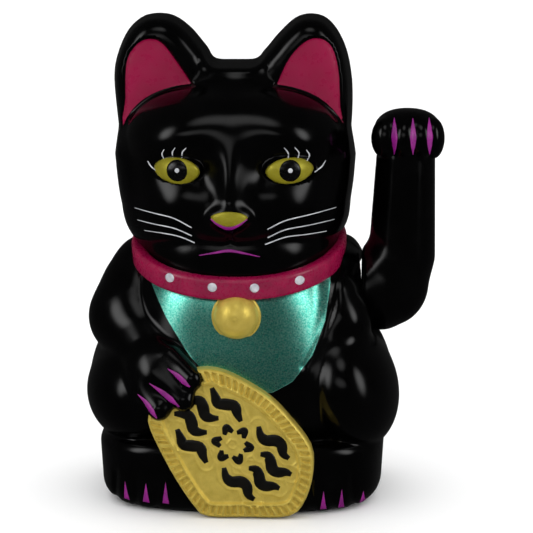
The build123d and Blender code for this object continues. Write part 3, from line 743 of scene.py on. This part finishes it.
def black_gloss(name, painted=False):
    """Glossy black moulding; painted adds the ear panels and the bib."""
    f = Finish(name, BLACK, 0.09, ior=1.39)
    base = f.mix(f.ramp(f.noise(14.0), 0.4, 0.65), BLACK, srgb(8, 8, 9))
    dust = f.ramp(f.cells(2.6), 0.0, 0.05, 1.0, 0.0)
    dust = f.maths("MULTIPLY", dust, f.ramp(f.noise(9.0, 2.0), 0.6, 0.75))
    base = f.mix(f.maths("MULTIPLY", dust, 0.5), base, srgb(92, 90, 88))
    rough = f.ramp(f.noise(7.0, 5.0), 0.3, 0.75, 0.13, 0.21)
    rub = f.ramp(f.noise(1.6, 2.0, stretch=(1.0, 1.0, 0.16)), 0.62, 0.8, 0.0, 0.05)
    rough = f.maths("ADD", rough, rub)
    if painted:
        wobble = f.ramp(f.noise(1.1, 2.0), 0.0, 1.0, -0.12, 0.12)
        ear = f.ramp(f.maths("ADD", f.attribute("ear_paint"), wobble), -0.10, 0.10, 1.0, 0.0)
        bib = f.ramp(f.maths("ADD", f.attribute("bib_paint"), wobble), -0.10, 0.10, 1.0, 0.0)
        ear_colour = f.mix(f.ramp(f.noise(12.0, 1.0), 0.35, 0.7), MAGENTA, srgb(129, 7, 54))
        spark = f.ramp(f.cells(0.34), 0.0, 0.8, 1.0, 0.0)
        tone = f.mix(f.ramp(f.noise(0.55, 1.0), 0.35, 0.68), srgb(70, 200, 178), TEAL)
        flakes = f.maths("MULTIPLY", f.maths("POWER", spark, 3.0), 0.55)
        bib_colour = f.mix(flakes, tone, srgb(150, 235, 212))
        base = f.mix(ear, base, ear_colour)
        base = f.mix(bib, base, bib_colour)
        rough = f.mix_value(ear, rough, f.ramp(f.noise(2.4), 0.3, 0.7, 0.26, 0.34))
        rough = f.mix_value(bib, rough, f.ramp(f.noise(0.6), 0.3, 0.7, 0.26, 0.36))
        f.metallic(f.mix_value(bib, 0.0, 0.97))
        grain = f.mix_value(bib, 0.0, f.maths("ADD", spark, f.noise(0.5, 1.0)))
        f.bump(grain, 0.16, 0.04)
    f.colour(base)
    f.roughness(rough)
    f.bump(f.noise(24.0, 1.0), 0.35, 0.25)
    f.bump(f.noise(0.5, 2.0), 0.10, 0.015)
    return f.material


def metallic_paint(name, base, darker, metallic, grain, rough=0.34):
    """Paint with fine metal flakes."""
    f = Finish(name, base, rough, metallic)
    spark = f.ramp(f.cells(0.38), 0.0, 0.75, 1.0, 0.0)
    tone = f.mix(f.ramp(f.noise(3.4, 3.0), 0.3, 0.7), base, darker)
    tone = f.mix(f.maths("MULTIPLY", f.maths("POWER", spark, 4.0), 0.25), tone, srgb(236, 222, 160))
    f.colour(tone)
    f.roughness(f.ramp(f.noise(0.9, 3.0), 0.3, 0.7, rough - 0.06, rough + 0.10))
    f.bump(f.maths("ADD", spark, f.noise(0.6, 2.0)), grain, 0.05)
    f.bump(f.noise(6.0, 2.0), 0.3, 0.12)
    return f.material


def brushed_paint(name, base, darker, rough=0.3):
    """Hand laid gloss paint, a little uneven."""
    f = Finish(name, base, rough)
    f.colour(f.mix(f.ramp(f.noise(4.0, 3.0), 0.35, 0.7), base, darker))
    f.roughness(f.ramp(f.noise(1.0, 3.0), 0.3, 0.7, rough - 0.06, rough + 0.12))
    f.bump(f.noise(1.2, 2.0), 0.25, 0.04)
    return f.material


def moulded(name, base, darker, rough):
    return Finish(name, base, rough).plain_wear(base, darker, 6.0, rough - 0.07, rough + 0.12)


def metal(name, base, darker, rough):
    return Finish(name, base, rough, 1.0).plain_wear(base, darker, 4.0, rough - 0.08, rough + 0.16)


PAINTED_BLACK = black_gloss("black gloss with ear panels and bib", painted=True)
PLAIN_BLACK = black_gloss("black gloss")
COLLAR_PAINT = brushed_paint("magenta collar paint", MAGENTA, srgb(118, 8, 52), 0.27)
CLAW_PAINT = brushed_paint("purple claw paint", PURPLE, srgb(112, 20, 104))
WHITE_PAINT = brushed_paint("pale grey paint", srgb(196, 198, 202), srgb(150, 152, 158), 0.4)
EYE_PAINT = metallic_paint("yellow gold eye paint", EYE_GOLD, srgb(142, 133, 27), 0.45, 0.3)
PUPIL_PAINT = brushed_paint("black pupil paint", srgb(9, 9, 10), srgb(14, 13, 15), 0.2)
GOLD_PAINT = metallic_paint("gold paint", GOLD, srgb(210, 183, 80), 0.55, 0.5)
COIN_BLACK = brushed_paint("black coin paint", srgb(16, 14, 10), srgb(26, 22, 14), 0.34)

CAD_FINISHES = {
    "black_gloss": PLAIN_BLACK,
    "black_plastic": moulded("black moulded plastic", srgb(22, 22, 24), srgb(30, 30, 32), 0.42),
    "white_nylon": moulded("white nylon", srgb(228, 226, 218), srgb(206, 202, 190), 0.45),
    "steel": metal("zinc plated steel", srgb(186, 188, 190), srgb(150, 150, 152), 0.32),
    "magnet_nickel": metal("nickel plated magnet", srgb(200, 198, 190), srgb(160, 156, 148), 0.22),
    "copper_wire": metal("enamelled copper wire", srgb(196, 104, 58), srgb(150, 70, 36), 0.34),
    "circuit_green": moulded("green circuit board", srgb(26, 92, 56), srgb(18, 70, 42), 0.36),
    "component_black": moulded("black component body", srgb(26, 25, 26), srgb(38, 37, 38), 0.5),
    "resistor_tan": moulded("tan resistor body", srgb(206, 172, 126), srgb(180, 144, 98), 0.42),
    "cell_sleeve": moulded("dark green cell sleeve", srgb(24, 74, 66), srgb(16, 56, 50), 0.28),
    "lead_red": moulded("red lead", srgb(176, 30, 28), srgb(140, 22, 20), 0.4),
    "lead_black": moulded("black lead", srgb(24, 24, 26), srgb(34, 33, 35), 0.4),
}


def dress(piece, material, body="body", replaces=()):
    """Material and carrying body of a new piece; the CAD nodes that it replaces are hidden."""
    piece.data.materials.clear()
    piece.data.materials.append(material)
    if replaces:
        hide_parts(*replaces)
    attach(piece, body)
    return piece


# ------------------------- the shells
def points_of(mesh):
    """The mesh's points, in millimetres."""
    points = np.empty(len(mesh.vertices) * 3)
    mesh.vertices.foreach_get("co", points)
    return points.reshape(-1, 3) / MM


HIDDEN = -0.9           # a point deeper than this in the whole form is on the inside of a wall


def thin_out(piece, whole, field, keep, inner_keep):
    """Thins the mesh, the hidden inside most of all, and takes its normals from the field again.

    Both rounds pick their points by the first mesh's numbering, so the second thins unevenly.
    """
    hidden = whole(points_of(piece.data)) < HIDDEN
    for name, members, ratio in (("inside", hidden, inner_keep), ("outside", ~hidden, keep)):
        group = piece.vertex_groups.new(name=name)
        group.add(np.flatnonzero(members).tolist(), 1.0, "REPLACE")
        thin = piece.modifiers.new(name, "DECIMATE")
        thin.vertex_group = name
        thin.ratio = 1.0 - members.mean() * (1.0 - ratio)
        bpy.context.view_layer.update()
        shape = piece.evaluated_get(bpy.context.evaluated_depsgraph_get())
        mesh = bpy.data.meshes.new_from_object(shape)
        piece.modifiers.clear()
        piece.vertex_groups.clear()
        piece.data = mesh
    mesh.polygons.foreach_set("use_smooth", [True] * len(mesh.polygons))
    normals = unit(gradient(field, points_of(mesh)))
    mesh.normals_split_custom_set_from_vertices(normals.tolist())


def hollow_half(name, whole, half_field, side, box, keep, inner_keep):
    """The front or back half of a hollow form. Less is seen of the back, so its grid is coarser."""
    low, high = (list(corner) for corner in box)
    (high if side == FRONT else low)[1] = SEAM_Y
    field = half_field(side)
    piece = sculpt(name, field, low, high, CELL if side == FRONT else CELL * 1.2)
    thin_out(piece, whole, field, keep, inner_keep)
    return piece


COLLAR_MIDDLE = (-1.5, -2.2, 90.55)
COLLAR_RISE = 3.0       # how much higher the collar is at its sides
COLLAR_RADII = (37.6, 39.2)
COLLAR_SQUARE = 2.35
COLLAR_HALF = (2.6, 4.1)        # half its thickness and half its height
COLLAR_ROUNDING = 1.6
TILT_COS, TILT_SIN = math.cos(math.radians(10.0)), math.sin(math.radians(10.0))


def collar_frame(p):
    """Coordinates in the tilted collar's own frame."""
    d = p - np.asarray(COLLAR_MIDDLE)
    d[:, 2] -= COLLAR_RISE * (d[:, 0] / COLLAR_RADII[0]) ** 2
    return d[:, 0], d[:, 1] * TILT_COS + d[:, 2] * TILT_SIN, d[:, 2] * TILT_COS - d[:, 1] * TILT_SIN


BIB = [
    (-36.5, 90.0), (-34.3, 86.5), (-26.2, 71.8), (-17.2, 58.9), (-12.0, 53.6), (-4.0, 49.0), (6.0, 45.5),
    (13.0, 45.8), (20.1, 49.6), (27.3, 58.6), (31.6, 70.2), (33.2, 82.0), (33.4, 92.0), (0.0, 98.0),
]
PAINT_LIMIT = 5.0       # stored distances stop here, which is far outside the paint


def paint_distances(piece):
    """Stores how far each point is from the edges of the ear panels and of the bib, negative inside."""
    points = points_of(piece.data)
    x, y, z = points.T
    # an ear panel ends at the head's ball and 2.8 mm inside the ear's edge
    ear = np.maximum(ear_panel_distance(x, z), 1.0 - head_ball(points))
    ear = np.maximum(ear, HEAD_EDGE(x, z) + 2.8)
    on_panel = (y < -7.0) & (y > -17.0) & (z > 138.5)
    # the bib ends at the resting arm and under the collar
    bib = np.maximum(polygon(x, z, BIB), 0.7 - resting_arm_field(points))
    bib = np.maximum(bib, collar_frame(points)[2])
    layers = {"ear_paint": np.where(on_panel, ear + 0.25, PAINT_LIMIT),
              "bib_paint": np.where(y < -14.0, bib, PAINT_LIMIT)}
    for name, values in layers.items():
        layer = piece.data.attributes.new(name, "FLOAT", "POINT")
        layer.data.foreach_set("value", np.clip(values, -PAINT_LIMIT, PAINT_LIMIT))


CAT_BOX = (-61.0, -53.0, 0.0), (60.0, 49.0, 181.0)
ARM_BOX = (44.0, -14.0, 60.0), (75.0, 14.0, 146.0)

front = hollow_half("cat_front_shell", cat_field, shell_field, FRONT, CAT_BOX, 0.55, 0.08)
paint_distances(front)
dress(front, PAINTED_BLACK, replaces=["front_shell"])
back = hollow_half("cat_back_shell", cat_field, shell_field, BACK, CAT_BOX, 0.5, 0.08)
dress(back, PLAIN_BLACK, replaces=["back_shell"])
arm_front = hollow_half("arm_front", waving_arm_field, arm_half_field, FRONT, ARM_BOX, 0.7, 0.1)
dress(arm_front, PLAIN_BLACK, "waving_arm", ["arm_front_half"])
arm_back = hollow_half("arm_back", waving_arm_field, arm_half_field, BACK, ARM_BOX, 0.6, 0.1)
dress(arm_back, PLAIN_BLACK, "waving_arm", ["arm_rear_half"])


# ------------------------- collar, bell and coin
def collar_field(p):
    x, y, z = collar_frame(p)
    out = squarish_tube(x, y, *COLLAR_RADII, COLLAR_SQUARE)
    half_thick, half_high = COLLAR_HALF
    a, b = np.abs(out) - half_thick + COLLAR_ROUNDING, np.abs(z) - half_high + COLLAR_ROUNDING
    return rounded(a, b, COLLAR_ROUNDING)


def collar(turns=180):
    """The collar_field's ring as a mesh."""
    flat_out, flat_up = (half - COLLAR_ROUNDING for half in COLLAR_HALF)
    profile = []
    for cx, cz, start in ((1, 1, 0), (-1, 1, 90), (-1, -1, 180), (1, -1, 270)):
        for k in range(4):
            a = math.radians(start + 30 * k)
            profile.append((flat_out * cx + COLLAR_ROUNDING * math.cos(a),
                            flat_up * cz + COLLAR_ROUNDING * math.sin(a)))
    points, faces = [], []
    n = len(profile)
    for i in range(turns):
        a = 2 * math.pi * i / turns
        ways = zip((math.cos(a), math.sin(a)), COLLAR_RADII)
        r = sum(abs(way / radius) ** COLLAR_SQUARE for way, radius in ways) ** (-1 / COLLAR_SQUARE)
        for out, up in profile:
            x, y = (r + out) * math.cos(a), (r + out) * math.sin(a)
            rise = COLLAR_RISE * (x / COLLAR_RADII[0]) ** 2
            points.append((COLLAR_MIDDLE[0] + x, COLLAR_MIDDLE[1] + y * TILT_COS - up * TILT_SIN,
                           COLLAR_MIDDLE[2] + y * TILT_SIN + up * TILT_COS + rise))
        faces += band(i * n, (i + 1) % turns * n, n)
    return mesh_object("collar", points, faces)


dress(collar(), COLLAR_PAINT)
for i, (x, z) in enumerate(((-24.4, 87.0), (-8.6, 84.5), (6.6, 84.4), (22.6, 86.4))):
    dress(spot(f"collar_dot_{i + 1}", oval(x, z, 1.7, 1.7, 28), collar_field, 4, 0.2), WHITE_PAINT)


def lathe_forward(name, centre, profile, turns=72):
    """Solid of revolution about Y; profile is (radius, y) round the centre, from the front tip back."""
    cx, cy, cz = centre
    points = [(cx, cy + profile[0][1], cz)]
    for r, y in profile[1:]:
        for k in range(turns):
            a = 2 * math.pi * k / turns
            points.append((cx + r * math.cos(a), cy + y, cz + r * math.sin(a)))
    faces = [(0, 1 + k, 1 + (k + 1) % turns) for k in range(turns)]
    last = len(points) - turns
    for first in range(1, last, turns):
        faces += band(first, first + turns, turns)
    faces.append(tuple(range(last, len(points))))
    return mesh_object(name, points, faces)


BELL = (-0.2, -39.6, 73.4)
BELL_RADIUS = 8.3
bell_angles = [math.radians(a) for a in range(8, 81, 6)]
bell_profile = [(0.0, -BELL_RADIUS), (0.5, -8.32), (0.8, -8.1)]
bell_profile += [(BELL_RADIUS * math.sin(a), -BELL_RADIUS * math.cos(a)) for a in bell_angles]
bell_profile += [(8.35, -1.1), (8.8, -1.0), (9.0, -0.6), (8.9, -0.1), (8.4, 0.2), (7.6, 4.5)]
dress(lathe_forward("bell", BELL, bell_profile), GOLD_PAINT)

COIN_OUTLINE = [
    (-31.6, 38.6), (-29.8, 45.0), (-22.0, 52.0), (-11.8, 55.4), (-1.9, 53.4), (11.8, 45.4), (21.2, 35.6),
    (27.0, 27.4), (28.2, 20.5), (26.9, 11.5), (22.8, 3.0), (16.5, 0.5), (4.0, 0.4), (-10.8, 0.5),
    (-15.6, 4.6), (-21.6, 13.6), (-27.5, 24.6), (-31.6, 34.0),
]
COIN_LOOP = smooth_loop(COIN_OUTLINE, 56)
COIN_FRONT, COIN_BACK = -48.2, -40.5
COIN_MIDDLE = (-1.1, 27.6)
COIN_TURN = math.radians(-39.0)


def coin_xz(u, v):
    """Point of the coin's face from distances along and across it."""
    c, s = math.cos(COIN_TURN), math.sin(COIN_TURN)
    return (COIN_MIDDLE[0] + u * c - v * s, COIN_MIDDLE[1] + u * s + v * c)


def coin_strokes():
    """A generic pattern: wavy bands either side of a ring of petals."""
    lines = []
    for row in (-10.0, -3.4, 3.4, 10.0):
        for side in (-1, 1):
            start = 10.0 if abs(row) < 5 else 3.0
            reach = 24.0 - 0.05 * row * row
            u = np.linspace(start, reach, 7) * side
            lines.append([coin_xz(a, row + 1.5 * math.sin(a * 0.6 + 0.4)) for a in u])
    for k in range(6):
        a, b = math.radians(60 * k + 8), math.radians(60 * k + 50)
        middle = (a + b) / 2
        lines.append([coin_xz(4.6 * math.cos(a), 4.6 * math.sin(a)),
                      coin_xz(6.4 * math.cos(middle), 6.4 * math.sin(middle)),
                      coin_xz(4.6 * math.cos(b), 4.6 * math.sin(b))])
    return lines


COIN_LINES = coin_strokes()

# how far along the coin's edge each angle round its middle is, which spaces the ribs evenly
around = np.arctan2(COIN_LOOP[:, 1] - COIN_MIDDLE[1], COIN_LOOP[:, 0] - COIN_MIDDLE[0])
ordered = COIN_LOOP[np.argsort(around)]
edge_steps = np.linalg.norm(np.roll(ordered, -1, axis=0) - ordered, axis=1)
RIB_ANGLES = np.concatenate([[-math.pi], np.sort(around), [math.pi]])
RIB_LENGTHS = np.concatenate([[0.0, 0.0], np.cumsum(edge_steps)])
RIB_PITCH = 2.9
RIM = 5.2               # width of the coin's raised rim


def coin_field(p):
    x, y, z = p.T
    edge = polygon(x, z, COIN_LOOP)
    plate = smax(edge, np.abs(y - (COIN_FRONT + COIN_BACK) / 2) - (COIN_BACK - COIN_FRONT) / 2, 2.0)
    face = np.clip((-46.0 - y) / 1.5, 0.0, 1.0)
    # sunken field inside a rim, with a bead between them
    plate = plate + 1.6 * np.clip(0.5 - (edge + RIM) / 1.2, 0.0, 1.0) * face
    plate = plate - 0.9 * np.exp(-((edge + RIM + 0.1) / 0.6) ** 2) * face
    # short ribs across the rim
    ribbed = np.clip((edge + 4.6) / 0.5, 0, 1) * np.clip((-1.0 - edge) / 0.5, 0, 1)
    along = np.interp(np.arctan2(z - COIN_MIDDLE[1], x - COIN_MIDDLE[0]), RIB_ANGLES, RIB_LENGTHS)
    rib = np.clip(0.5 + 0.8 * np.cos(2 * math.pi * along / RIB_PITCH), 0, 1)
    plate = plate + 1.25 * ribbed * (1 - rib) * face
    # raised borders round the painted pattern
    near = np.full(len(p), FAR)
    for line in COIN_LINES:
        for start, end in zip(line[:-1], line[1:]):
            near = np.minimum(near, gap_squared(x, z, start, end))
    plate = plate - 0.8 * np.exp(-((np.sqrt(near) - 3.0) / 0.6) ** 2) * face
    return np.maximum(plate, -z)


COIN_LOW, COIN_HIGH = (-33.0, COIN_FRONT - 0.5, 0.0), (30.0, COIN_BACK + 0.5, 59.0)
dress(sculpt("coin", coin_field, COIN_LOW, COIN_HIGH, COIN_CELL), GOLD_PAINT)
BAND_WIDTHS, PETAL_WIDTHS = [1.6, 3.9, 4.5, 3.8, 1.6], [1.4, 3.2, 1.4]
for i, line in enumerate(COIN_LINES):
    widths = BAND_WIDTHS if len(line) > 3 else PETAL_WIDTHS
    dress(stroke(f"coin_pattern_{i + 1}", line, widths, coin_field, 24, 0.12), COIN_BLACK)


# ------------------------- the painted face and claws
def eye_outline(x, z, side):
    """Almond with its outer corner a little higher."""
    a = np.linspace(0, 2 * math.pi, 72, endpoint=False)
    c, s = np.cos(a), np.sin(a)
    half = np.where(s > 0, 4.6, 5.0) * (1.0 - 0.16 * np.abs(c) ** 3)
    return np.stack([x + EYE_RADII[0] * np.sign(c) * np.abs(c) ** 0.94,
                     z + half * s * np.abs(s) ** 0.05 + side * 0.5 * c], axis=1)


for side_name, side, (ex, ez) in (("left", -1, EYES[0]), ("right", 1, EYES[1])):
    rounds = (("eye", eye_outline(ex, ez, side), 12, 0.16, EYE_PAINT),
              ("pupil", oval(ex + 0.3, ez, 4.1, 4.2, 48), 8, 0.26, PUPIL_PAINT),
              ("glint", oval(ex + 0.4, ez + 0.2, 1.05, 1.05, 24), 4, 0.36, WHITE_PAINT))
    for name, outline, rings, lift, paint in rounds:
        dress(spot(f"{name}_{side_name}", outline, cat_field, rings, lift), paint)

# name, points along each line, widths from start to end, and the lines
HAIRS = (
    ("lash_left", 16, [0.4, 0.5, 0.24], (
        [(-26.6, 129.5), (-27.3, 131.4), (-26.4, 133.2)],
        [(-23.3, 130.3), (-23.4, 132.2), (-22.3, 134.0)],
        [(-20.0, 130.3), (-19.7, 132.4), (-18.3, 134.0)],
        [(-32.9, 128.3), (-31.6, 126.4), (-29.3, 125.0)])),
    ("lash_right", 16, [0.4, 0.5, 0.24], (
        [(18.3, 130.3), (18.1, 132.4), (16.8, 134.2)],
        [(21.7, 130.2), (22.0, 132.2), (20.6, 134.2)],
        [(24.9, 129.1), (25.7, 131.1), (24.7, 133.1)],
        [(27.6, 124.8), (29.9, 126.2), (31.4, 128.4)])),
    ("whisker_left", 40, [0.24, 0.38, 0.46, 0.44], (
        [(-38.6, 110.2), (-30.7, 109.6), (-23.3, 108.4), (-16.5, 105.0)],
        [(-37.6, 105.8), (-30.7, 105.4), (-23.4, 104.5), (-16.6, 101.8)],
        [(-34.8, 102.2), (-27.9, 102.2), (-21.7, 101.4), (-15.6, 99.2)])),
    ("whisker_right", 40, [0.44, 0.46, 0.38, 0.24], (
        [(10.8, 104.6), (17.5, 107.8), (25.8, 109.4), (35.2, 110.5)],
        [(10.8, 101.3), (17.5, 104.2), (25.8, 105.4), (34.6, 106.1)],
        [(9.9, 98.9), (17.5, 101.3), (24.4, 101.8), (31.8, 102.0)])),
)
for name, count, widths, lines in HAIRS:
    for i, line in enumerate(lines):
        dress(stroke(f"{name}_{i + 1}", line, widths, cat_field, count, 0.1), WHITE_PAINT)

NOSE_OUTLINE = [
    (-9.2, 109.8), (-6.4, 111.3), (-2.6, 111.8), (1.2, 111.3), (4.0, 109.8),
    (2.8, 108.0), (0.2, 106.8), (-2.7, 106.2), (-5.6, 106.8), (-8.0, 108.0),
]
NOSE_EDGE = [(-9.3, 109.0), (-6.4, 106.9), (-2.8, 105.4), (0.8, 106.9), (3.9, 109.0)]
dress(spot("nose_paint", smooth_loop(NOSE_OUTLINE, 48), cat_field, 8, 0.14), EYE_PAINT)
dress(stroke("nose_edge", NOSE_EDGE, [0.4, 1.1, 1.5, 1.1, 0.4], cat_field, lift=0.2), CLAW_PAINT)
dress(stroke("mouth", MOUTH, [0.3, 0.7, 1.1, 0.7, 0.3], cat_field, lift=0.12), CLAW_PAINT)

PAW_CLAWS = (
    [(-24.6, 55.2), (-20.8, 53.0), (-16.2, 49.4)],
    [(-31.2, 49.8), (-26.0, 46.6), (-20.0, 42.2)],
    [(-35.6, 45.4), (-32.0, 42.6), (-28.2, 37.7)],
)
for i, line in enumerate(PAW_CLAWS):
    dress(stroke(f"paw_claw_{i + 1}", line, [0.3, 1.0, 1.9, 2.2, 0.5], cat_field, 28), CLAW_PAINT)


def triangle(points, count=10):
    """A triangle's outline with count points on each side."""
    pts = np.asarray(points, float)
    share = np.linspace(0, 1, count, endpoint=False)[:, None]
    return np.concatenate([a + (b - a) * share for a, b in zip(pts, np.roll(pts, -1, axis=0))])


FOOT_CLAWS = (
    [(-41.6, 10.6), (-42.2, 3.5), (-39.9, 3.1)],
    [(-33.4, 11.2), (-34.8, 3.5), (-32.2, 3.3)],
    [(-26.0, 12.2), (-27.3, 3.7), (-24.8, 3.5)],
    [(31.7, 9.2), (30.3, 1.5), (32.7, 1.5)],
    [(38.3, 9.3), (36.8, 1.2), (39.2, 1.2)],
    [(46.1, 7.0), (44.5, 1.2), (46.9, 1.4)],
)
for i, points in enumerate(FOOT_CLAWS):
    dress(spot(f"foot_claw_{i + 1}", triangle(points), cat_field, 6, 0.12), CLAW_PAINT)

ARM_CLAW_WIDTHS = [0.2, 1.6, 2.3, 1.6, 0.2]
for i, (x, lean) in enumerate(((56.1, 0.1), (62.9, 0.2), (68.9, 0.3))):
    line = [(x, 142.2), (x + lean, 135.5), (x + lean, 128.8)]
    claw = stroke(f"arm_claw_{i + 1}", line, ARM_CLAW_WIDTHS, waving_arm_field, 28)
    dress(claw, CLAW_PAINT, body="waving_arm")


# ------------------------- CAD nodes that stay get their finish
slot_of = {row["node"]: row["material_slot"] for row in frame["record"]["subparts"]}
for name, node in frame["nodes"].items():
    finish = CAD_FINISHES.get(slot_of.get(name))
    if finish and node.data.materials:
        node.data.materials[0] = finish
    elif finish:
        node.data.materials.append(finish)


# ------------------------- floor, light and camera
AIM = (0.0, 0.0, 0.09)  # the middle of the cat, in metres, which the lights face


def empty_tree(owner):
    """The owner's node tree with nothing in it."""
    owner.use_nodes = True
    owner.node_tree.nodes.clear()
    return owner.node_tree


def softbox(name, place, size, strength):
    """Glowing panel, brightest at its middle, that shows only in the gloss."""
    bpy.ops.mesh.primitive_plane_add(size=1.0, location=place)
    panel = bpy.context.active_object
    panel.name = name
    panel.scale = (size[0], size[1], 1.0)
    panel.rotation_euler = (Vector(place) - Vector(AIM)).to_track_quat("Z", "Y").to_euler()
    panel.visible_camera = False
    panel.visible_shadow = False
    panel.visible_diffuse = False
    material = bpy.data.materials.new(name)
    tree = empty_tree(material)
    middle_distance = add(tree, "VectorMath", {0: add(tree, "TexCoord", {}, "Object")}, "Value",
                          operation="LENGTH")
    limits = {"From Min": 0.12, "From Max": 0.52, "To Min": strength, "To Max": 0.0}
    fade = add(tree, "MapRange", {"Value": middle_distance, **limits}, "Result",
               interpolation_type="SMOOTHSTEP")
    add(tree, "OutputMaterial", {"Surface": add(tree, "Emission", {"Strength": fade})}, None)
    panel.data.materials.append(material)


def stage_floor():
    bpy.ops.mesh.primitive_plane_add(size=40.0, location=(0, 0, -0.0002))
    floor = bpy.context.active_object
    floor.name = "floor"
    paper = Finish("pale floor", (0.98, 0.98, 0.98, 1), 0.8)
    floor.data.materials.append(paper.material)
    floor.visible_glossy = False


SEEN_STRENGTH = 1.34    # what the camera and the diffuse light get
GLOSS_STRENGTH = 0.03   # what the gloss mirrors


def studio_world():
    """White surroundings that stay nearly black in the reflections."""
    world = bpy.data.worlds.new("studio")
    bpy.context.scene.world = world
    tree = empty_tree(world)
    rays = [add(tree, "LightPath", {}, output) for output in ("Is Camera Ray", "Is Diffuse Ray")]
    share = add(tree, "Math", dict(enumerate(rays)), operation="ADD", use_clamp=True)
    gloss, seen = (add(tree, "Background", {"Color": (1, 1, 1, 1), "Strength": strength})
                   for strength in (GLOSS_STRENGTH, SEEN_STRENGTH))
    add(tree, "OutputWorld", {"Surface": add(tree, "MixShader", {0: share, 1: gloss, 2: seen})}, None)


stage_floor()
studio_world()
softbox("softbox left", (-0.66, -0.50, 0.46), (0.46, 0.90), 3.3)
softbox("softbox right", (0.72, -0.42, 0.44), (0.44, 0.90), 3.0)
softbox("softbox front", (-0.20, -1.25, 0.62), (1.2, 0.6), 0.8)
softbox("softbox top", (0.0, -0.45, 0.85), (0.5, 0.5), 1.2)

camera = bpy.data.cameras.new("camera")
camera.lens, camera.sensor_width = 152.1, 36.0
camera.clip_start, camera.clip_end = 0.01, 20.0
eye = bpy.data.objects.new("camera", camera)
azimuth, elevation, distance = math.radians(3.2), math.radians(10.0), 0.85
target = np.array([0.0085, 0.0, 0.0847])
level = math.cos(elevation)
away = np.array([math.sin(azimuth) * level, -math.cos(azimuth) * level, math.sin(elevation)])
eye.location = target + distance * away
eye.rotation_euler = (math.radians(90.0) - elevation, 0.0, azimuth)
bpy.context.scene.collection.objects.link(eye)
bpy.context.scene.camera = eye
bpy.context.scene.view_settings.view_transform = "Standard"
